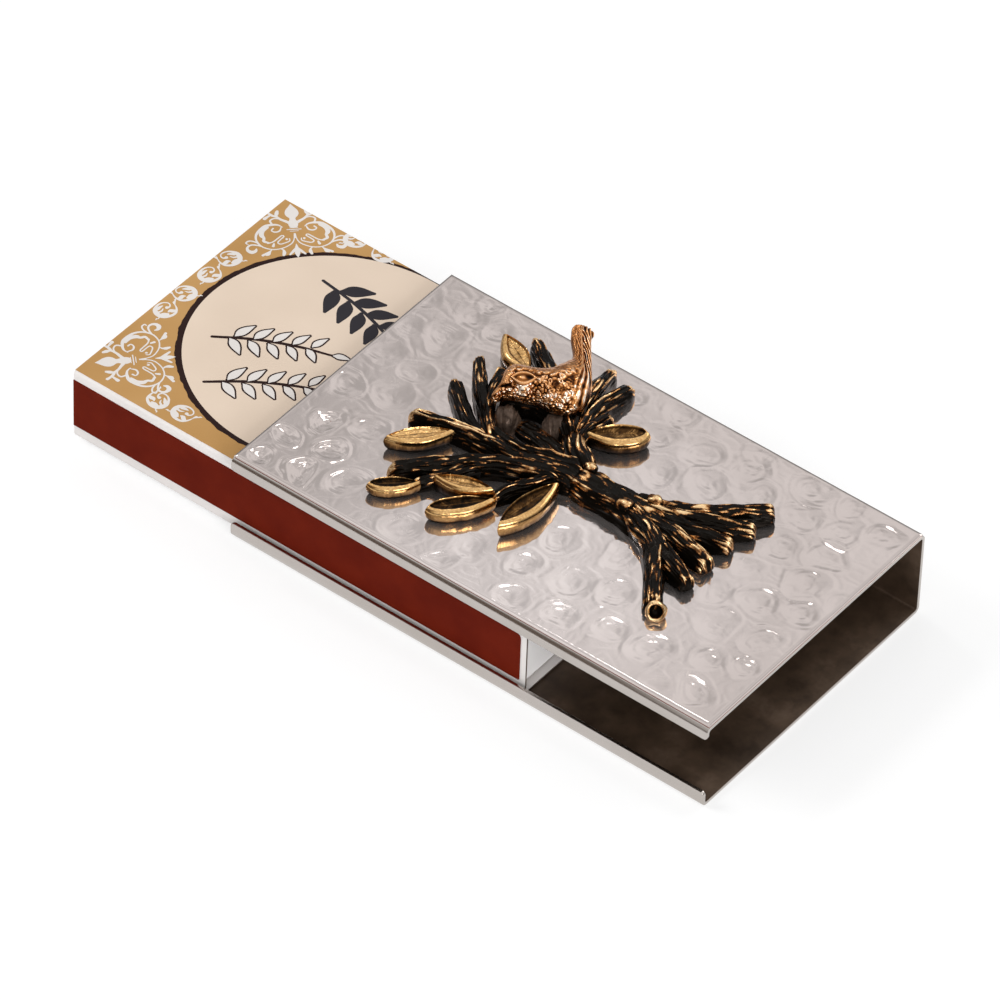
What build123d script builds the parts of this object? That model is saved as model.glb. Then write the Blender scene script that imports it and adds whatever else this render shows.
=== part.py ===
from build123d import *
import math
import os

# A bent metal holder that carries one matchbox, with a tree in relief on its hammered top.
# X runs along the box, -Y is the open side where matches are struck, +Z is up.
# The origin is the centre of the holder's underside. The matchbox stands drawn out to -X.

# Matchbox sleeve and the board that it is folded from
sleeve_length = 112.0
sleeve_width = 65.6
sleeve_height = 17.2
sleeve_board = 0.7
sleeve_corner = 0.5

# Drawer inside the sleeve
tray_board = 0.6
tray_side_gap = 0.3
tray_under_gap = 0.1
tray_over_gap = 0.6
tray_recess = 1.8

# Printed and striking papers on the sleeve
label_thickness = 0.12
striker_thickness = 0.15
striker_top_margin = 2.2
striker_bottom_margin = 2.5
striker_end_margin = 1.4

# Matches lying across the drawer
match_end_gap = 3.2
match_side = 2.1
match_head_side = 2.5
match_head_length = 3.6
match_head_corner = 0.6
match_gap = 0.12
match_layers = 2

# Holder sheet, bent round three sides with a lip above and below the open side
holder_length = 115.0
holder_sheet = 0.8
holder_bend = 1.5
side_clearance = 0.9
floor_gap = 0.1
head_clearance = 1.7
upper_lip = 2.8
lower_lip = 4.0
lip_corner = 0.8

# How far the sleeve stands out of the holder's left end
drawn_out = 40.9

# Hammered plate on the holder's top
plate_thickness = 0.6
plate_side_margin = 0.8
plate_end_margin = 0.3

# Tree casting: half its length, and the size of its wood
tree_reach = 37.0
wood_half_width = 4.0
wood_height = 4.6
root_sink = 0.5
knot_radius = 1.3
leaf_height = 3.4
leaf_rim = 0.75
leaf_recess = 0.6
bird_seat = 4.2
bird_height = 5.0

# Heights and edges that follow from the sizes above
holder_width = sleeve_width + 2 * side_clearance + 2 * holder_sheet
holder_height = sleeve_height + floor_gap + head_clearance + 2 * holder_sheet
holder_front = -holder_width / 2
sleeve_bottom = holder_sheet + floor_gap
sleeve_left = -holder_length / 2 - drawn_out
sleeve_right = sleeve_left + sleeve_length
sleeve_centre_x = (sleeve_left + sleeve_right) / 2
sleeve_centre_z = sleeve_bottom + sleeve_height / 2
plate_top = holder_height + plate_thickness

# A section of wood: places across it and up it, as shares of its half width and height
wood_across_shares = (-1.0, -1.0, -0.66, 0.0, 0.66, 1.0, 1.0)
wood_up_shares = (0.0, 0.45, 0.86, 1.0, 0.86, 0.45, 0.0)

# Each limb is a list of x, y, half width and height, as shares of tree_reach for the place
# and of wood_half_width and wood_height for the section
trunk_shares = {
    "trunk": [(-0.05, 0.045, 1.05, 1.0), (0.11, 0.04, 0.93, 0.98), (0.26, 0.04, 0.93, 1.0),
              (0.40, 0.04, 1.15, 1.0), (0.54, 0.06, 0.9, 0.92)],
    "root_far": [(0.30, 0.09, 0.66, 0.95), (0.54, 0.18, 0.6, 0.92), (0.73, 0.32, 0.52, 0.86),
                 (0.90, 0.48, 0.54, 0.86)],
    "root_second": [(0.32, 0.07, 0.6, 0.95), (0.54, 0.13, 0.56, 0.94), (0.73, 0.22, 0.5, 0.86),
                    (0.90, 0.315, 0.48, 0.78)],
    "root_third": [(0.32, 0.05, 0.6, 0.95), (0.56, 0.075, 0.56, 0.94), (0.76, 0.12, 0.48, 0.86),
                   (0.89, 0.15, 0.44, 0.76)],
    "root_fourth": [(0.32, 0.03, 0.6, 0.95), (0.54, 0.01, 0.58, 0.96), (0.73, -0.015, 0.54, 0.92),
                    (0.87, -0.035, 0.52, 0.86)],
    "root_fifth": [(0.32, 0.02, 0.6, 0.95), (0.52, -0.06, 0.58, 0.94), (0.70, -0.145, 0.52, 0.88),
                   (0.87, -0.23, 0.48, 0.8)],
    "root_near": [(0.30, 0.03, 0.7, 0.95), (0.47, -0.035, 0.66, 0.95), (0.57, -0.10, 0.62, 0.92),
                  (0.67, -0.22, 0.56, 0.86), (0.775, -0.375, 0.54, 0.82), (0.87, -0.50, 0.6, 0.86)],
}
crown_shares = {
    "hub": [(0.02, 0.045, 1.0, 1.0), (-0.16, 0.0, 0.72, 0.98), (-0.33, -0.05, 0.6, 0.98),
            (-0.49, -0.05, 0.56, 0.96), (-0.60, -0.03, 0.5, 0.9)],
    "fork": [(0.02, 0.075, 0.72, 0.98), (-0.06, 0.125, 0.7, 1.0), (-0.18, 0.20, 0.64, 1.0),
             (-0.27, 0.29, 0.6, 1.0)],
    "low_bough": [(-0.08, -0.01, 0.62, 0.98), (-0.32, -0.095, 0.58, 0.98), (-0.50, -0.21, 0.5, 0.9),
                  (-0.65, -0.345, 0.46, 0.82), (-0.84, -0.53, 0.42, 0.7)],
    "low_twig": [(-0.46, -0.20, 0.4, 0.8), (-0.59, -0.39, 0.36, 0.72), (-0.68, -0.53, 0.32, 0.62)],
    "near_twig": [(-0.10, -0.02, 0.46, 0.9), (-0.19, -0.14, 0.4, 0.82), (-0.255, -0.26, 0.36, 0.74),
                  (-0.30, -0.36, 0.3, 0.66)],
    "left_bough_a": [(-0.40, -0.045, 0.46, 0.92), (-0.67, -0.07, 0.44, 0.84), (-0.82, -0.085, 0.44, 0.78),
                     (-0.99, -0.12, 0.42, 0.72)],
    "left_bough_b": [(-0.54, -0.04, 0.42, 0.9), (-0.69, 0.0, 0.4, 0.86), (-0.84, 0.10, 0.38, 0.76),
                     (-0.98, 0.215, 0.4, 0.7)],
    "left_bough_c": [(-0.55, -0.03, 0.42, 0.9), (-0.75, 0.165, 0.38, 0.84), (-0.885, 0.31, 0.4, 0.78),
                     (-0.985, 0.43, 0.34, 0.66)],
    "left_bough_d": [(-0.56, -0.02, 0.4, 0.9), (-0.73, 0.185, 0.34, 0.84), (-0.80, 0.335, 0.32, 0.76),
                     (-0.85, 0.465, 0.3, 0.66)],
    "top_bough": [(-0.23, 0.245, 0.52, 1.0), (-0.46, 0.43, 0.46, 0.94), (-0.665, 0.60, 0.42, 0.84),
                  (-0.84, 0.73, 0.36, 0.74)],
    "right_bough_a": [(-0.24, 0.25, 0.46, 0.98), (-0.33, 0.475, 0.42, 0.9), (-0.375, 0.665, 0.4, 0.82),
                      (-0.39, 0.82, 0.34, 0.7)],
    "right_bough_b": [(-0.22, 0.25, 0.46, 0.98), (-0.265, 0.47, 0.42, 0.9), (-0.265, 0.62, 0.42, 0.82),
                      (-0.24, 0.785, 0.36, 0.7)],
    "right_twig": [(-0.19, 0.23, 0.4, 0.9), (-0.205, 0.39, 0.36, 0.8), (-0.185, 0.545, 0.28, 0.66)],
}
seam_share = -0.02
knot_shares = [(0.325, 0.0), (0.425, 0.115)]

# Each leaf: tip x and y, stem end x and y and half width, as shares of tree_reach,
# and its height as a share of leaf_height
leaf_shares = {
    "leaf_left": (-0.985, -0.375, -0.725, -0.10, 0.064, 0.95),
    "leaf_far_left": (-0.855, -0.685, -0.665, -0.515, 0.054, 0.8),
    "leaf_right": (0.07, 0.525, -0.19, 0.31, 0.082, 1.05),
    "leaf_near_left": (-0.50, -0.645, -0.30, -0.42, 0.062, 0.95),
    "leaf_top": (-0.995, 0.65, -0.775, 0.485, 0.082, 1.0),
    "leaf_middle": (-0.60, -0.455, -0.29, -0.33, 0.058, 1.1),
    "leaf_near_right": (-0.12, -0.53, -0.065, -0.07, 0.075, 1.15),
}

# The bird from beak to tail: back x and y, breast x and y as shares of tree_reach,
# and height as a share of bird_height
bird_shares = [
    (-0.700, 0.138, -0.680, 0.130, 0.2),
    (-0.714, 0.219, -0.650, 0.190, 0.48),
    (-0.735, 0.300, -0.600, 0.235, 0.74),
    (-0.750, 0.395, -0.510, 0.275, 0.92),
    (-0.685, 0.465, -0.385, 0.320, 1.0),
    (-0.580, 0.540, -0.315, 0.390, 1.0),
    (-0.557, 0.608, -0.333, 0.520, 0.84),
    (-0.580, 0.685, -0.420, 0.635, 0.7),
    (-0.635, 0.755, -0.515, 0.770, 0.66),
    (-0.680, 0.870, -0.590, 0.895, 0.5),
]


def tree_place(x_share, y_share):
    """A place on the plate, from shares of the tree's reach."""
    return x_share * tree_reach, y_share * tree_reach


def arched_section(left, right, bottom, height):
    """An upright flat-bottomed arch that spans two places on the plan."""
    centre_x = (left[0] + right[0]) / 2
    centre_y = (left[1] + right[1]) / 2
    half_x = (right[0] - left[0]) / 2
    half_y = (right[1] - left[1]) / 2
    corners = []
    for across, up in zip(wood_across_shares, wood_up_shares):
        corners.append((centre_x + across * half_x, centre_y + across * half_y, bottom + up * height))
    return make_face(Polyline(*corners, close=True))


def limb(rows):
    """One tapering limb that starts just under the plate's top, along the given rows."""
    places = [tree_place(row[0], row[1]) for row in rows]
    sections = []
    for index, row in enumerate(rows):
        before = places[max(index - 1, 0)]
        after = places[min(index + 1, len(rows) - 1)]
        run = math.hypot(after[0] - before[0], after[1] - before[1])
        half_width = row[2] * wood_half_width
        side_x = -(after[1] - before[1]) / run * half_width
        side_y = (after[0] - before[0]) / run * half_width
        x, y = places[index]
        bottom = plate_top - root_sink
        height = row[3] * wood_height + root_sink
        sections.append(arched_section((x - side_x, y - side_y), (x + side_x, y + side_y), bottom, height))
    return loft(sections, ruled=True)


def joined_limbs(table):
    """All limbs of a table in one body, cut flat where it meets the plate."""
    limbs = [limb(rows) for rows in table.values()]
    wood = limbs[0]
    for other in limbs[1:]:
        wood = wood + other
    above = Pos(0, 0, plate_top + tree_reach) * Box(4 * tree_reach, 4 * tree_reach, 2 * tree_reach)
    return wood & above


def seam_half(right_side):
    """The space on one side of the seam between the crown and the trunk."""
    seam_x = tree_place(seam_share, 0)[0]
    offset = 2 * tree_reach if right_side else -2 * tree_reach
    return Pos(seam_x + offset, 0, plate_top) * Box(4 * tree_reach, 4 * tree_reach, 2 * tree_reach)


def leaf(row):
    """A raised almond leaf with a rim round a sunk middle, standing on the plate."""
    tip = Vector(*tree_place(row[0], row[1]))
    stem = Vector(*tree_place(row[2], row[3]))
    half_width = row[4] * tree_reach
    height = row[5] * leaf_height
    along = (tip - stem).normalized()
    side = Vector(-along.Y, along.X)
    middle = (tip + stem) / 2
    outline = almond(stem, tip, middle, side * half_width)
    body = Pos(0, 0, plate_top) * extrude(outline, height)
    end_inset = leaf_rim * (tip - stem).length / (2 * half_width)
    inner_half = half_width - leaf_rim
    inner = almond(stem + along * end_inset, tip - along * end_inset, middle, side * inner_half)
    hollow = Pos(0, 0, plate_top + height - leaf_recess) * extrude(inner, 2 * leaf_recess)
    return body - hollow


def almond(start, end, middle, bulge):
    """A flat almond between two points, as wide as twice the bulge."""
    one_side = ThreePointArc(start, middle + bulge, end)
    other_side = ThreePointArc(end, middle - bulge, start)
    return make_face([one_side, other_side])


def bird():
    """A plump half-round bird lying on the boughs, beak to -Y and tail cocked to the far corner."""
    sections = []
    for back_x, back_y, breast_x, breast_y, height_share in bird_shares:
        back = tree_place(back_x, back_y)
        breast = tree_place(breast_x, breast_y)
        sections.append(arched_section(back, breast, plate_top + bird_seat, height_share * bird_height))
    return loft(sections, ruled=True)


def tree_pieces():
    """Bird, leaves, crown and trunk, each cut to lie face to face with the next."""
    bird_body = bird()
    leaves = {name: leaf(row) for name, row in leaf_shares.items()}
    crown = joined_limbs(crown_shares) & seam_half(right_side=False)
    trunk = joined_limbs(trunk_shares) & seam_half(right_side=True)
    for x_share, y_share in knot_shares:
        x, y = tree_place(x_share, y_share)
        trunk = trunk + Pos(x, y, plate_top + wood_height - knot_radius / 2) * Sphere(knot_radius)
    crown = crown - bird_body
    for piece in leaves.values():
        crown = crown - piece
        trunk = trunk - piece
    return {"tree_trunk": trunk, "tree_crown": crown, "bird": bird_body, **leaves}


def holder_shell():
    """The bent sheet: floor, back, top and the two lips beside the open side."""
    outer = RectangleRounded(holder_width, holder_height, holder_bend)
    inner_width = holder_width - 2 * holder_sheet
    inner_height = holder_height - 2 * holder_sheet
    inner = RectangleRounded(inner_width, inner_height, holder_bend - holder_sheet)
    ring = Pos(0, 0, holder_height / 2) * extrude(Plane.YZ * (outer - inner), holder_length / 2, both=True)
    window_height = holder_height - upper_lip - lower_lip
    window_z = (lower_lip + holder_height - upper_lip) / 2
    window = Pos(0, holder_front, window_z) * Box(2 * holder_length, 2 * holder_bend, window_height)
    shell = ring - window
    lip_edges = shell.edges().filter_by(Axis.Y).filter_by(is_lip_corner)
    return fillet(lip_edges, lip_corner)


def is_lip_corner(edge):
    """True for the short edges at the free corners of the two lips."""
    place = edge.center()
    at_lip = place.Y < holder_front + holder_sheet
    inside = lower_lip - lip_corner < place.Z < holder_height - upper_lip + lip_corner
    return at_lip and inside


def hammered_plate():
    """The thin sheet that lies on the holder's top."""
    length = holder_length - 2 * plate_end_margin
    width = holder_width - 2 * plate_side_margin
    return Pos(0, 0, holder_height + plate_thickness / 2) * Box(length, width, plate_thickness)


def sleeve():
    """The board sleeve of the matchbox, open at both ends."""
    outer = RectangleRounded(sleeve_width, sleeve_height, sleeve_corner)
    inner = Rectangle(sleeve_width - 2 * sleeve_board, sleeve_height - 2 * sleeve_board)
    tube = extrude(Plane.YZ * (outer - inner), sleeve_length / 2, both=True)
    return Pos(sleeve_centre_x, 0, sleeve_centre_z) * tube


def printed_label():
    """The printed paper on the sleeve's top."""
    width = sleeve_width - 2 * sleeve_corner
    z = sleeve_bottom + sleeve_height + label_thickness / 2
    return Pos(sleeve_centre_x, 0, z) * Box(sleeve_length, width, label_thickness)


def striker(side):
    """A striking strip on one long side of the sleeve."""
    length = sleeve_length - striker_end_margin
    height = sleeve_height - striker_top_margin - striker_bottom_margin
    x = sleeve_left + length / 2
    y = side * (sleeve_width + striker_thickness) / 2
    z = sleeve_bottom + striker_bottom_margin + height / 2
    return Pos(x, y, z) * Box(length, striker_thickness, height)


tray_length = sleeve_length - tray_recess
tray_width = sleeve_width - 2 * sleeve_board - 2 * tray_side_gap
tray_height = sleeve_height - 2 * sleeve_board - tray_under_gap - tray_over_gap
tray_bottom = sleeve_bottom + sleeve_board + tray_under_gap
tray_centre_x = sleeve_left + tray_length / 2
tray_floor = tray_bottom + tray_board
match_length = tray_width - 2 * tray_board - 2 * match_end_gap


def tray():
    """The drawer, a shallow open box."""
    outside = Box(tray_length, tray_width, tray_height)
    inside = Box(tray_length - 2 * tray_board, tray_width - 2 * tray_board, tray_height)
    box = outside - Pos(0, 0, tray_board) * inside
    return Pos(tray_centre_x, 0, tray_bottom + tray_height / 2) * box


def match_places():
    """Middle of each match along X, and the height of its underside, layer by layer."""
    pitch = match_head_side + match_gap
    room = tray_length - 2 * tray_board
    count = int((room - match_gap) / pitch)
    first = tray_centre_x - (count - 1) * pitch / 2
    for layer in range(match_layers):
        for index in range(count):
            yield first + index * pitch, tray_floor + layer * pitch


def matches():
    """All match sticks and all match heads, each a solid of its own."""
    stick_length = match_length - match_head_length
    stick_y = match_head_length / 2
    head_y = -stick_length / 2
    stick_shape = Box(match_side, stick_length, match_side)
    head_box = Box(match_head_side, match_head_length, match_head_side)
    head_shape = fillet(head_box.edges(), match_head_corner)
    sticks = []
    heads = []
    for x, z in match_places():
        sticks.append(Pos(x, stick_y, z + match_head_side / 2) * stick_shape)
        heads.append(Pos(x, head_y, z + match_head_side / 2) * head_shape)
    return Compound(children=sticks), Compound(children=heads)


def all_pieces():
    """Every piece of the object, by the name of its node."""
    sticks, heads = matches()
    pieces = {
        "holder_shell": holder_shell(),
        "hammered_plate": hammered_plate(),
        "matchbox_sleeve": sleeve(),
        "printed_label": printed_label(),
        "striker_front": striker(-1),
        "striker_back": striker(1),
        "matchbox_tray": tray(),
        "match_sticks": sticks,
        "match_heads": heads,
    }
    pieces.update(tree_pieces())
    return pieces


os.makedirs("parts", exist_ok=True)
for node, shape in all_pieces().items():
    export_step(shape, f"parts/{node}.step")
    print(node, "written")
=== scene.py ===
import bpy
import bmesh
import math
import random
from mathutils import Matrix, Vector, noise


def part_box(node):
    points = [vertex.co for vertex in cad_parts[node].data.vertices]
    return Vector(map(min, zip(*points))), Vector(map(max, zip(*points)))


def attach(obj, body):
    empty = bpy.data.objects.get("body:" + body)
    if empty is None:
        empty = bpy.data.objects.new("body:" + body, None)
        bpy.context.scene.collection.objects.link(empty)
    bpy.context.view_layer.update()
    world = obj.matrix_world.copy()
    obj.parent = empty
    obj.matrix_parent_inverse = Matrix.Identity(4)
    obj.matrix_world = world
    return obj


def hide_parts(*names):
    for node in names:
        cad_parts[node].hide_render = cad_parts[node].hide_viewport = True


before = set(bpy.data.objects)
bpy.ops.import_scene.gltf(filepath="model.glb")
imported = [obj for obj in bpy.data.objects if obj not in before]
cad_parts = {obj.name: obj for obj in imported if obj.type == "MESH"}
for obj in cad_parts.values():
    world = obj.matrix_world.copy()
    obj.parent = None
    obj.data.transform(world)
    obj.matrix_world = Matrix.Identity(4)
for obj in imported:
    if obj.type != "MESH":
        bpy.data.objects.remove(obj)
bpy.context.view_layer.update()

mm = 0.001
noise.seed_set(5)  # or else noise_vector starts from the clock

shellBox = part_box("holder_shell")
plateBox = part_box("hammered_plate")
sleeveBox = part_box("matchbox_sleeve")
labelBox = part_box("printed_label")
plateTop = plateBox[1][2]  # metres, the height that the castings stand on


# Editing

def pick(obj):
    if bpy.context.object and bpy.context.object.mode != "OBJECT":
        bpy.ops.object.mode_set(mode="OBJECT")
    bpy.ops.object.select_all(action="DESELECT")
    obj.select_set(True)
    bpy.context.view_layer.objects.active = obj


def editSelect(obj, kind="FACE", test=None):
    # goes into edit mode with the faces, edges or points that pass the test selected, or with all of them
    pick(obj)
    bpy.ops.object.mode_set(mode="EDIT")
    bpy.ops.mesh.select_mode(type=kind)
    bpy.ops.mesh.select_all(action="DESELECT" if test else "SELECT")
    if test:
        mesh = bmesh.from_edit_mesh(obj.data)
        for item in {"FACE": mesh.faces, "EDGE": mesh.edges, "VERT": mesh.verts}[kind]:
            if test(item):
                item.select = True
        mesh.select_flush_mode()
        bmesh.update_edit_mesh(obj.data)


def backToObject():
    bpy.ops.object.mode_set(mode="OBJECT")


def dropFaces(obj, test):
    editSelect(obj, "FACE", test)
    bpy.ops.mesh.delete(type="FACE")
    backToObject()


def cutAt(obj, place, way, **more):
    editSelect(obj)
    bpy.ops.mesh.bisect(plane_co=place, plane_no=way, threshold=1e-6, **more)
    backToObject()


def bevelAt(obj, kind, test, width, steps, **more):
    editSelect(obj, kind, test)
    bpy.ops.mesh.bevel(offset=width * mm, segments=steps, **more)
    backToObject()


def closeUnder(obj, drop):
    # walls down from an open rim and a face under them; Blender's extrusion orders them anew each run
    mesh = bmesh.new()
    mesh.from_mesh(obj.data)
    rim = [loop for face in mesh.faces for loop in face.loops if len(loop.edge.link_faces) == 1]
    following = {loop.vert.index: loop.link_loop_next.vert for loop in rim}
    upper = [rim[0].vert]
    while len(upper) < len(rim):
        upper.append(following[upper[-1].index])
    lower = [mesh.verts.new(point.co - Vector((0, 0, drop))) for point in upper]
    for k in range(len(rim)):
        mesh.faces.new((lower[k - 1], lower[k], upper[k], upper[k - 1]))
    mesh.faces.new(lower[::-1])
    mesh.to_mesh(obj.data)
    mesh.free()


def isEnd(face):
    return abs(face.normal.x) > 0.9


def middleOf(edge):
    return (edge.verts[0].co + edge.verts[1].co) / 2


def runsAlong(edge, axis):
    return abs((edge.verts[0].co - edge.verts[1].co).normalized()[axis]) > 0.9


def bakePlace(obj):
    pick(obj)
    bpy.ops.object.transform_apply(location=True, rotation=True, scale=True)


def addBox(name, low, high):
    low, high = Vector(low), Vector(high)
    bpy.ops.mesh.primitive_cube_add(size=1, location=(low + high) / 2)
    box = bpy.context.object
    box.name = name
    box.scale = high - low
    bakePlace(box)
    return box


def addModifier(obj, kind, **settings):
    pick(obj)
    modifier = obj.modifiers.new(kind.title(), kind)
    for key, value in settings.items():
        setattr(modifier, key, value)
    bpy.ops.object.modifier_apply(modifier=modifier.name)


def smoothByAngle(obj, degrees):
    pick(obj)
    bpy.ops.object.shade_smooth_by_angle(angle=math.radians(degrees))


def paint(obj, *names):
    for name in names:
        obj.data.materials.append(finishes[name])


def settle(obj, body, slot, *nodes):
    # a finished piece rides on its body and stands for the named nodes
    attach(obj, body)
    if nodes:
        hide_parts(*nodes)


# Shapes from numbers

def mix(first, second, share):
    return first + (second - first) * share


def step01(value, low, high):
    share = min(1.0, max(0.0, (value - low) / (high - low)))
    return share * share * (3 - 2 * share)


def waver(x, y, z, size=1.0):
    # smooth noise between about -1 and 1, with waves of the given size
    return noise.noise(Vector((x, y, z)) / size)


def beyond(end, before):
    return tuple(2 * a - b for a, b in zip(end, before))


def smoothRun(rows, step):
    # a smooth curve through rows of numbers, of which the first two are its place
    rows = [beyond(rows[0], rows[1]), *rows, beyond(rows[-1], rows[-2])]
    run = []
    for p, q, r, s in zip(rows, rows[1:], rows[2:], rows[3:]):
        count = max(2, int(math.hypot(r[0] - q[0], r[1] - q[1]) / step))
        for turn in range(count):
            t = turn / count
            run.append([0.5 * (2 * b + (c - a) * t + (2 * a - 5 * b + 4 * c - d) * t * t
                               + (3 * b - a - 3 * c + d) * t ** 3) for a, b, c, d in zip(p, q, r, s)])
    run.append(list(rows[-2]))
    return run


def joinRings(faces, first, around, rings, turned=False, closed=True):
    # quads between rings of points, and a face over each end, or over the first end only
    for ring in range(rings - 1):
        for k in range(around):
            a = first + ring * around + k
            b = first + ring * around + (k + 1) % around
            faces.append((a, a + around, b + around, b) if turned else (a, b, b + around, a + around))
    start = range(first, first + around)
    end = range(first + (rings - 1) * around, first + rings * around)
    faces.append(tuple(start if turned else reversed(start)))
    if closed:
        faces.append(tuple(reversed(end) if turned else end))


def meshPiece(name, points, faces, rubsAndPaintedLight=None):
    data = bpy.data.meshes.new(name)
    data.from_pydata([tuple(p) for p in points], [], faces)
    if rubsAndPaintedLight is not None:
        layer = data.attributes.new("rub_and_painted_light", "FLOAT", "POINT")
        layer.data.foreach_set("value", rubsAndPaintedLight)
    data.update()
    obj = bpy.data.objects.new(name, data)
    bpy.context.collection.objects.link(obj)
    return obj


def castPiece(name, build, finish, slot, node, merged=False):
    # a casting on the holder, from its points, its faces and a rub for each point, which on the bird and the
    # stubs also carries painted light
    piece = meshPiece(name, *build)
    editSelect(piece)
    if merged:
        bpy.ops.mesh.remove_doubles(threshold=0.00001)
    bpy.ops.mesh.normals_make_consistent(inside=False)
    backToObject()
    paint(piece, finish)
    smoothByAngle(piece, 60)
    settle(piece, "holder", slot, node)


# Materials: a colour is a grey share, three numbers from 0 to 255, or four linear ones

def toColor(value):
    if isinstance(value, float):
        return (value, value, value, 1.0)
    if len(value) == 4:
        return value
    shares = [part / 255 for part in value]
    return (*[part / 12.92 if part <= 0.04045 else ((part + 0.055) / 1.055) ** 2.4 for part in shares], 1.0)


def isSocket(source):
    return isinstance(source, bpy.types.NodeSocket)


def feed(tree, source, socket):
    if isSocket(source):
        tree.links.new(source, socket)
    else:
        socket.default_value = source


def put(tree, kind, *sources, **values):
    # a new node, with its inputs fed in order or by name
    node = tree.nodes.new(kind)
    for key, value in [*enumerate(sources), *values.items()]:
        if isinstance(key, int) or key in node.inputs:
            feed(tree, value, node.inputs[key])
        else:
            setattr(node, key, value)
    return node


def math2(tree, operation, *sources):
    return put(tree, "ShaderNodeMath", *sources, operation=operation).outputs[0]


def mapRange(tree, source, *limits):
    return put(tree, "ShaderNodeMapRange", source, *limits).outputs[0]


def placeNode(tree):
    return put(tree, "ShaderNodeTexCoord").outputs["Object"]


def noiseAt(tree, sizeMm, detail=3.0, roughness=0.5, stretch=None, distortion=0.0):
    place = placeNode(tree)
    if stretch:
        place = put(tree, "ShaderNodeMapping", Vector=place, Scale=stretch).outputs["Vector"]
    return put(tree, "ShaderNodeTexNoise", Vector=place, Scale=1 / (sizeMm * mm), Detail=detail,
               Roughness=roughness, Distortion=distortion).outputs["Fac"]


def ramp(tree, source, *stops):
    node = put(tree, "ShaderNodeValToRGB", source)
    ends = node.color_ramp.elements
    ends[0].position, ends[0].color = stops[0][0], toColor(stops[0][1])
    ends[1].position, ends[1].color = stops[-1][0], toColor(stops[-1][1])
    for position, color in stops[1:-1]:
        ends.new(position).color = toColor(color)
    return node.outputs["Color"]


def mixColor(tree, factor, *colors):
    node = put(tree, "ShaderNodeMix", factor, data_type="RGBA")
    for color, socket in zip(colors, (node.inputs[6], node.inputs[7])):
        feed(tree, color if isSocket(color) else toColor(color), socket)
    return node.outputs[2]


def feedShader(tree, sources):
    for key, source in sources.items():
        feed(tree, source, tree.nodes["Principled BSDF"].inputs[key])


def coat(tree, color, roughness, relief, metallic=0.0, specular=0.5):
    # relief is a height, its strength and its depth in mm
    bump = put(tree, "ShaderNodeBump", Height=relief[0], Strength=relief[1], Distance=relief[2] * mm)
    feedShader(tree, {"Base Color": color, "Roughness": roughness, "Normal": bump.outputs["Normal"],
                      "Metallic": metallic, "Specular IOR Level": specular})


def rubAndPaintedLightAt(tree):
    return put(tree, "ShaderNodeAttribute", attribute_name="rub_and_painted_light").outputs["Fac"]


def polishedSheet(tree):
    brushed = noiseAt(tree, 0.5, 4.0, 0.6, (0.02, 1.0, 1.0))
    tint = ramp(tree, noiseAt(tree, 14.0, 2.0), (0.3, (186, 179, 173)), (0.7, (193, 186, 181)))
    coat(tree, tint, ramp(tree, brushed, (0.3, 0.2), (0.7, 0.28)), (brushed, 0.12, 0.02), 1.0)


def rawSheet(tree):
    # the dull brown inside of the holder
    cloud = noiseAt(tree, 16.0, 5.0, 0.6)
    stain = noiseAt(tree, 3.0, 4.0, 0.6)
    tone = ramp(tree, cloud, (0.35, (56, 43, 32)), (0.55, (84, 67, 53)), (0.75, (118, 98, 82)))
    tone = mixColor(tree, ramp(tree, stain, (0.5, 0.0), (0.75, 0.5)), tone, (44, 32, 22))
    coat(tree, tone, ramp(tree, cloud, (0.3, 0.36), (0.8, 0.5)), (stain, 0.15, 0.03), 0.5)


def hammeredSheet(tree):
    cloud = noiseAt(tree, 9.0, 3.0)
    # the sheet is painted darker away from the middle of its near half, towards the ends and the far side:
    # painted shade
    apart = put(tree, "ShaderNodeVectorMath", placeNode(tree), (0.004, -0.022, 0.021), operation="DISTANCE")
    share = mapRange(tree, apart.outputs["Value"], 0.012, 0.05)
    tint = ramp(tree, cloud, (0.3, (204, 195, 192)), (0.7, (209, 200, 197)))
    paintedShade = ramp(tree, cloud, (0.3, (184, 174, 170)), (0.7, (190, 180, 176)))
    swirl = noiseAt(tree, 3.4, 2.0, 0.45, distortion=1.6)
    coat(tree, mixColor(tree, share, tint, paintedShade), ramp(tree, cloud, (0.3, 0.05), (0.7, 0.09)),
         (swirl, 0.4, 0.03), 0.87)


def blackenedBrass(tree):
    rubAndPaintedLight = rubAndPaintedLightAt(tree)
    grain = noiseAt(tree, 0.4, 4.0, 0.65)
    summed = math2(tree, "MULTIPLY_ADD", grain, 0.5, rubAndPaintedLight)
    worn = ramp(tree, summed, (0.69, 0.0), (0.8, 1.0))
    color = ramp(tree, summed, (0.69, (8, 6, 4)), (0.75, (100, 58, 28)), (0.83, (184, 134, 84)),
                 (0.98, (234, 198, 150)))
    # a rub above 1.5 marks the stubs under the bird, painted flat brown: painted shade and a painted
    # reflection of the bird's underside
    paintedShade = math2(tree, "GREATER_THAN", rubAndPaintedLight, 1.5)
    brown = ramp(tree, noiseAt(tree, 1.6, 4.0, 0.6), (0.3, (40, 31, 25)), (0.7, (98, 82, 72)))
    coat(tree, mixColor(tree, paintedShade, color, brown), mixColor(tree, worn, 0.22, 0.24), (grain, 0.3, 0.08),
         mixColor(tree, paintedShade, worn, 0.3), 0.08)
    feedShader(tree, {"Specular Tint": (1.0, 0.86, 0.74, 1.0)})


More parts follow.
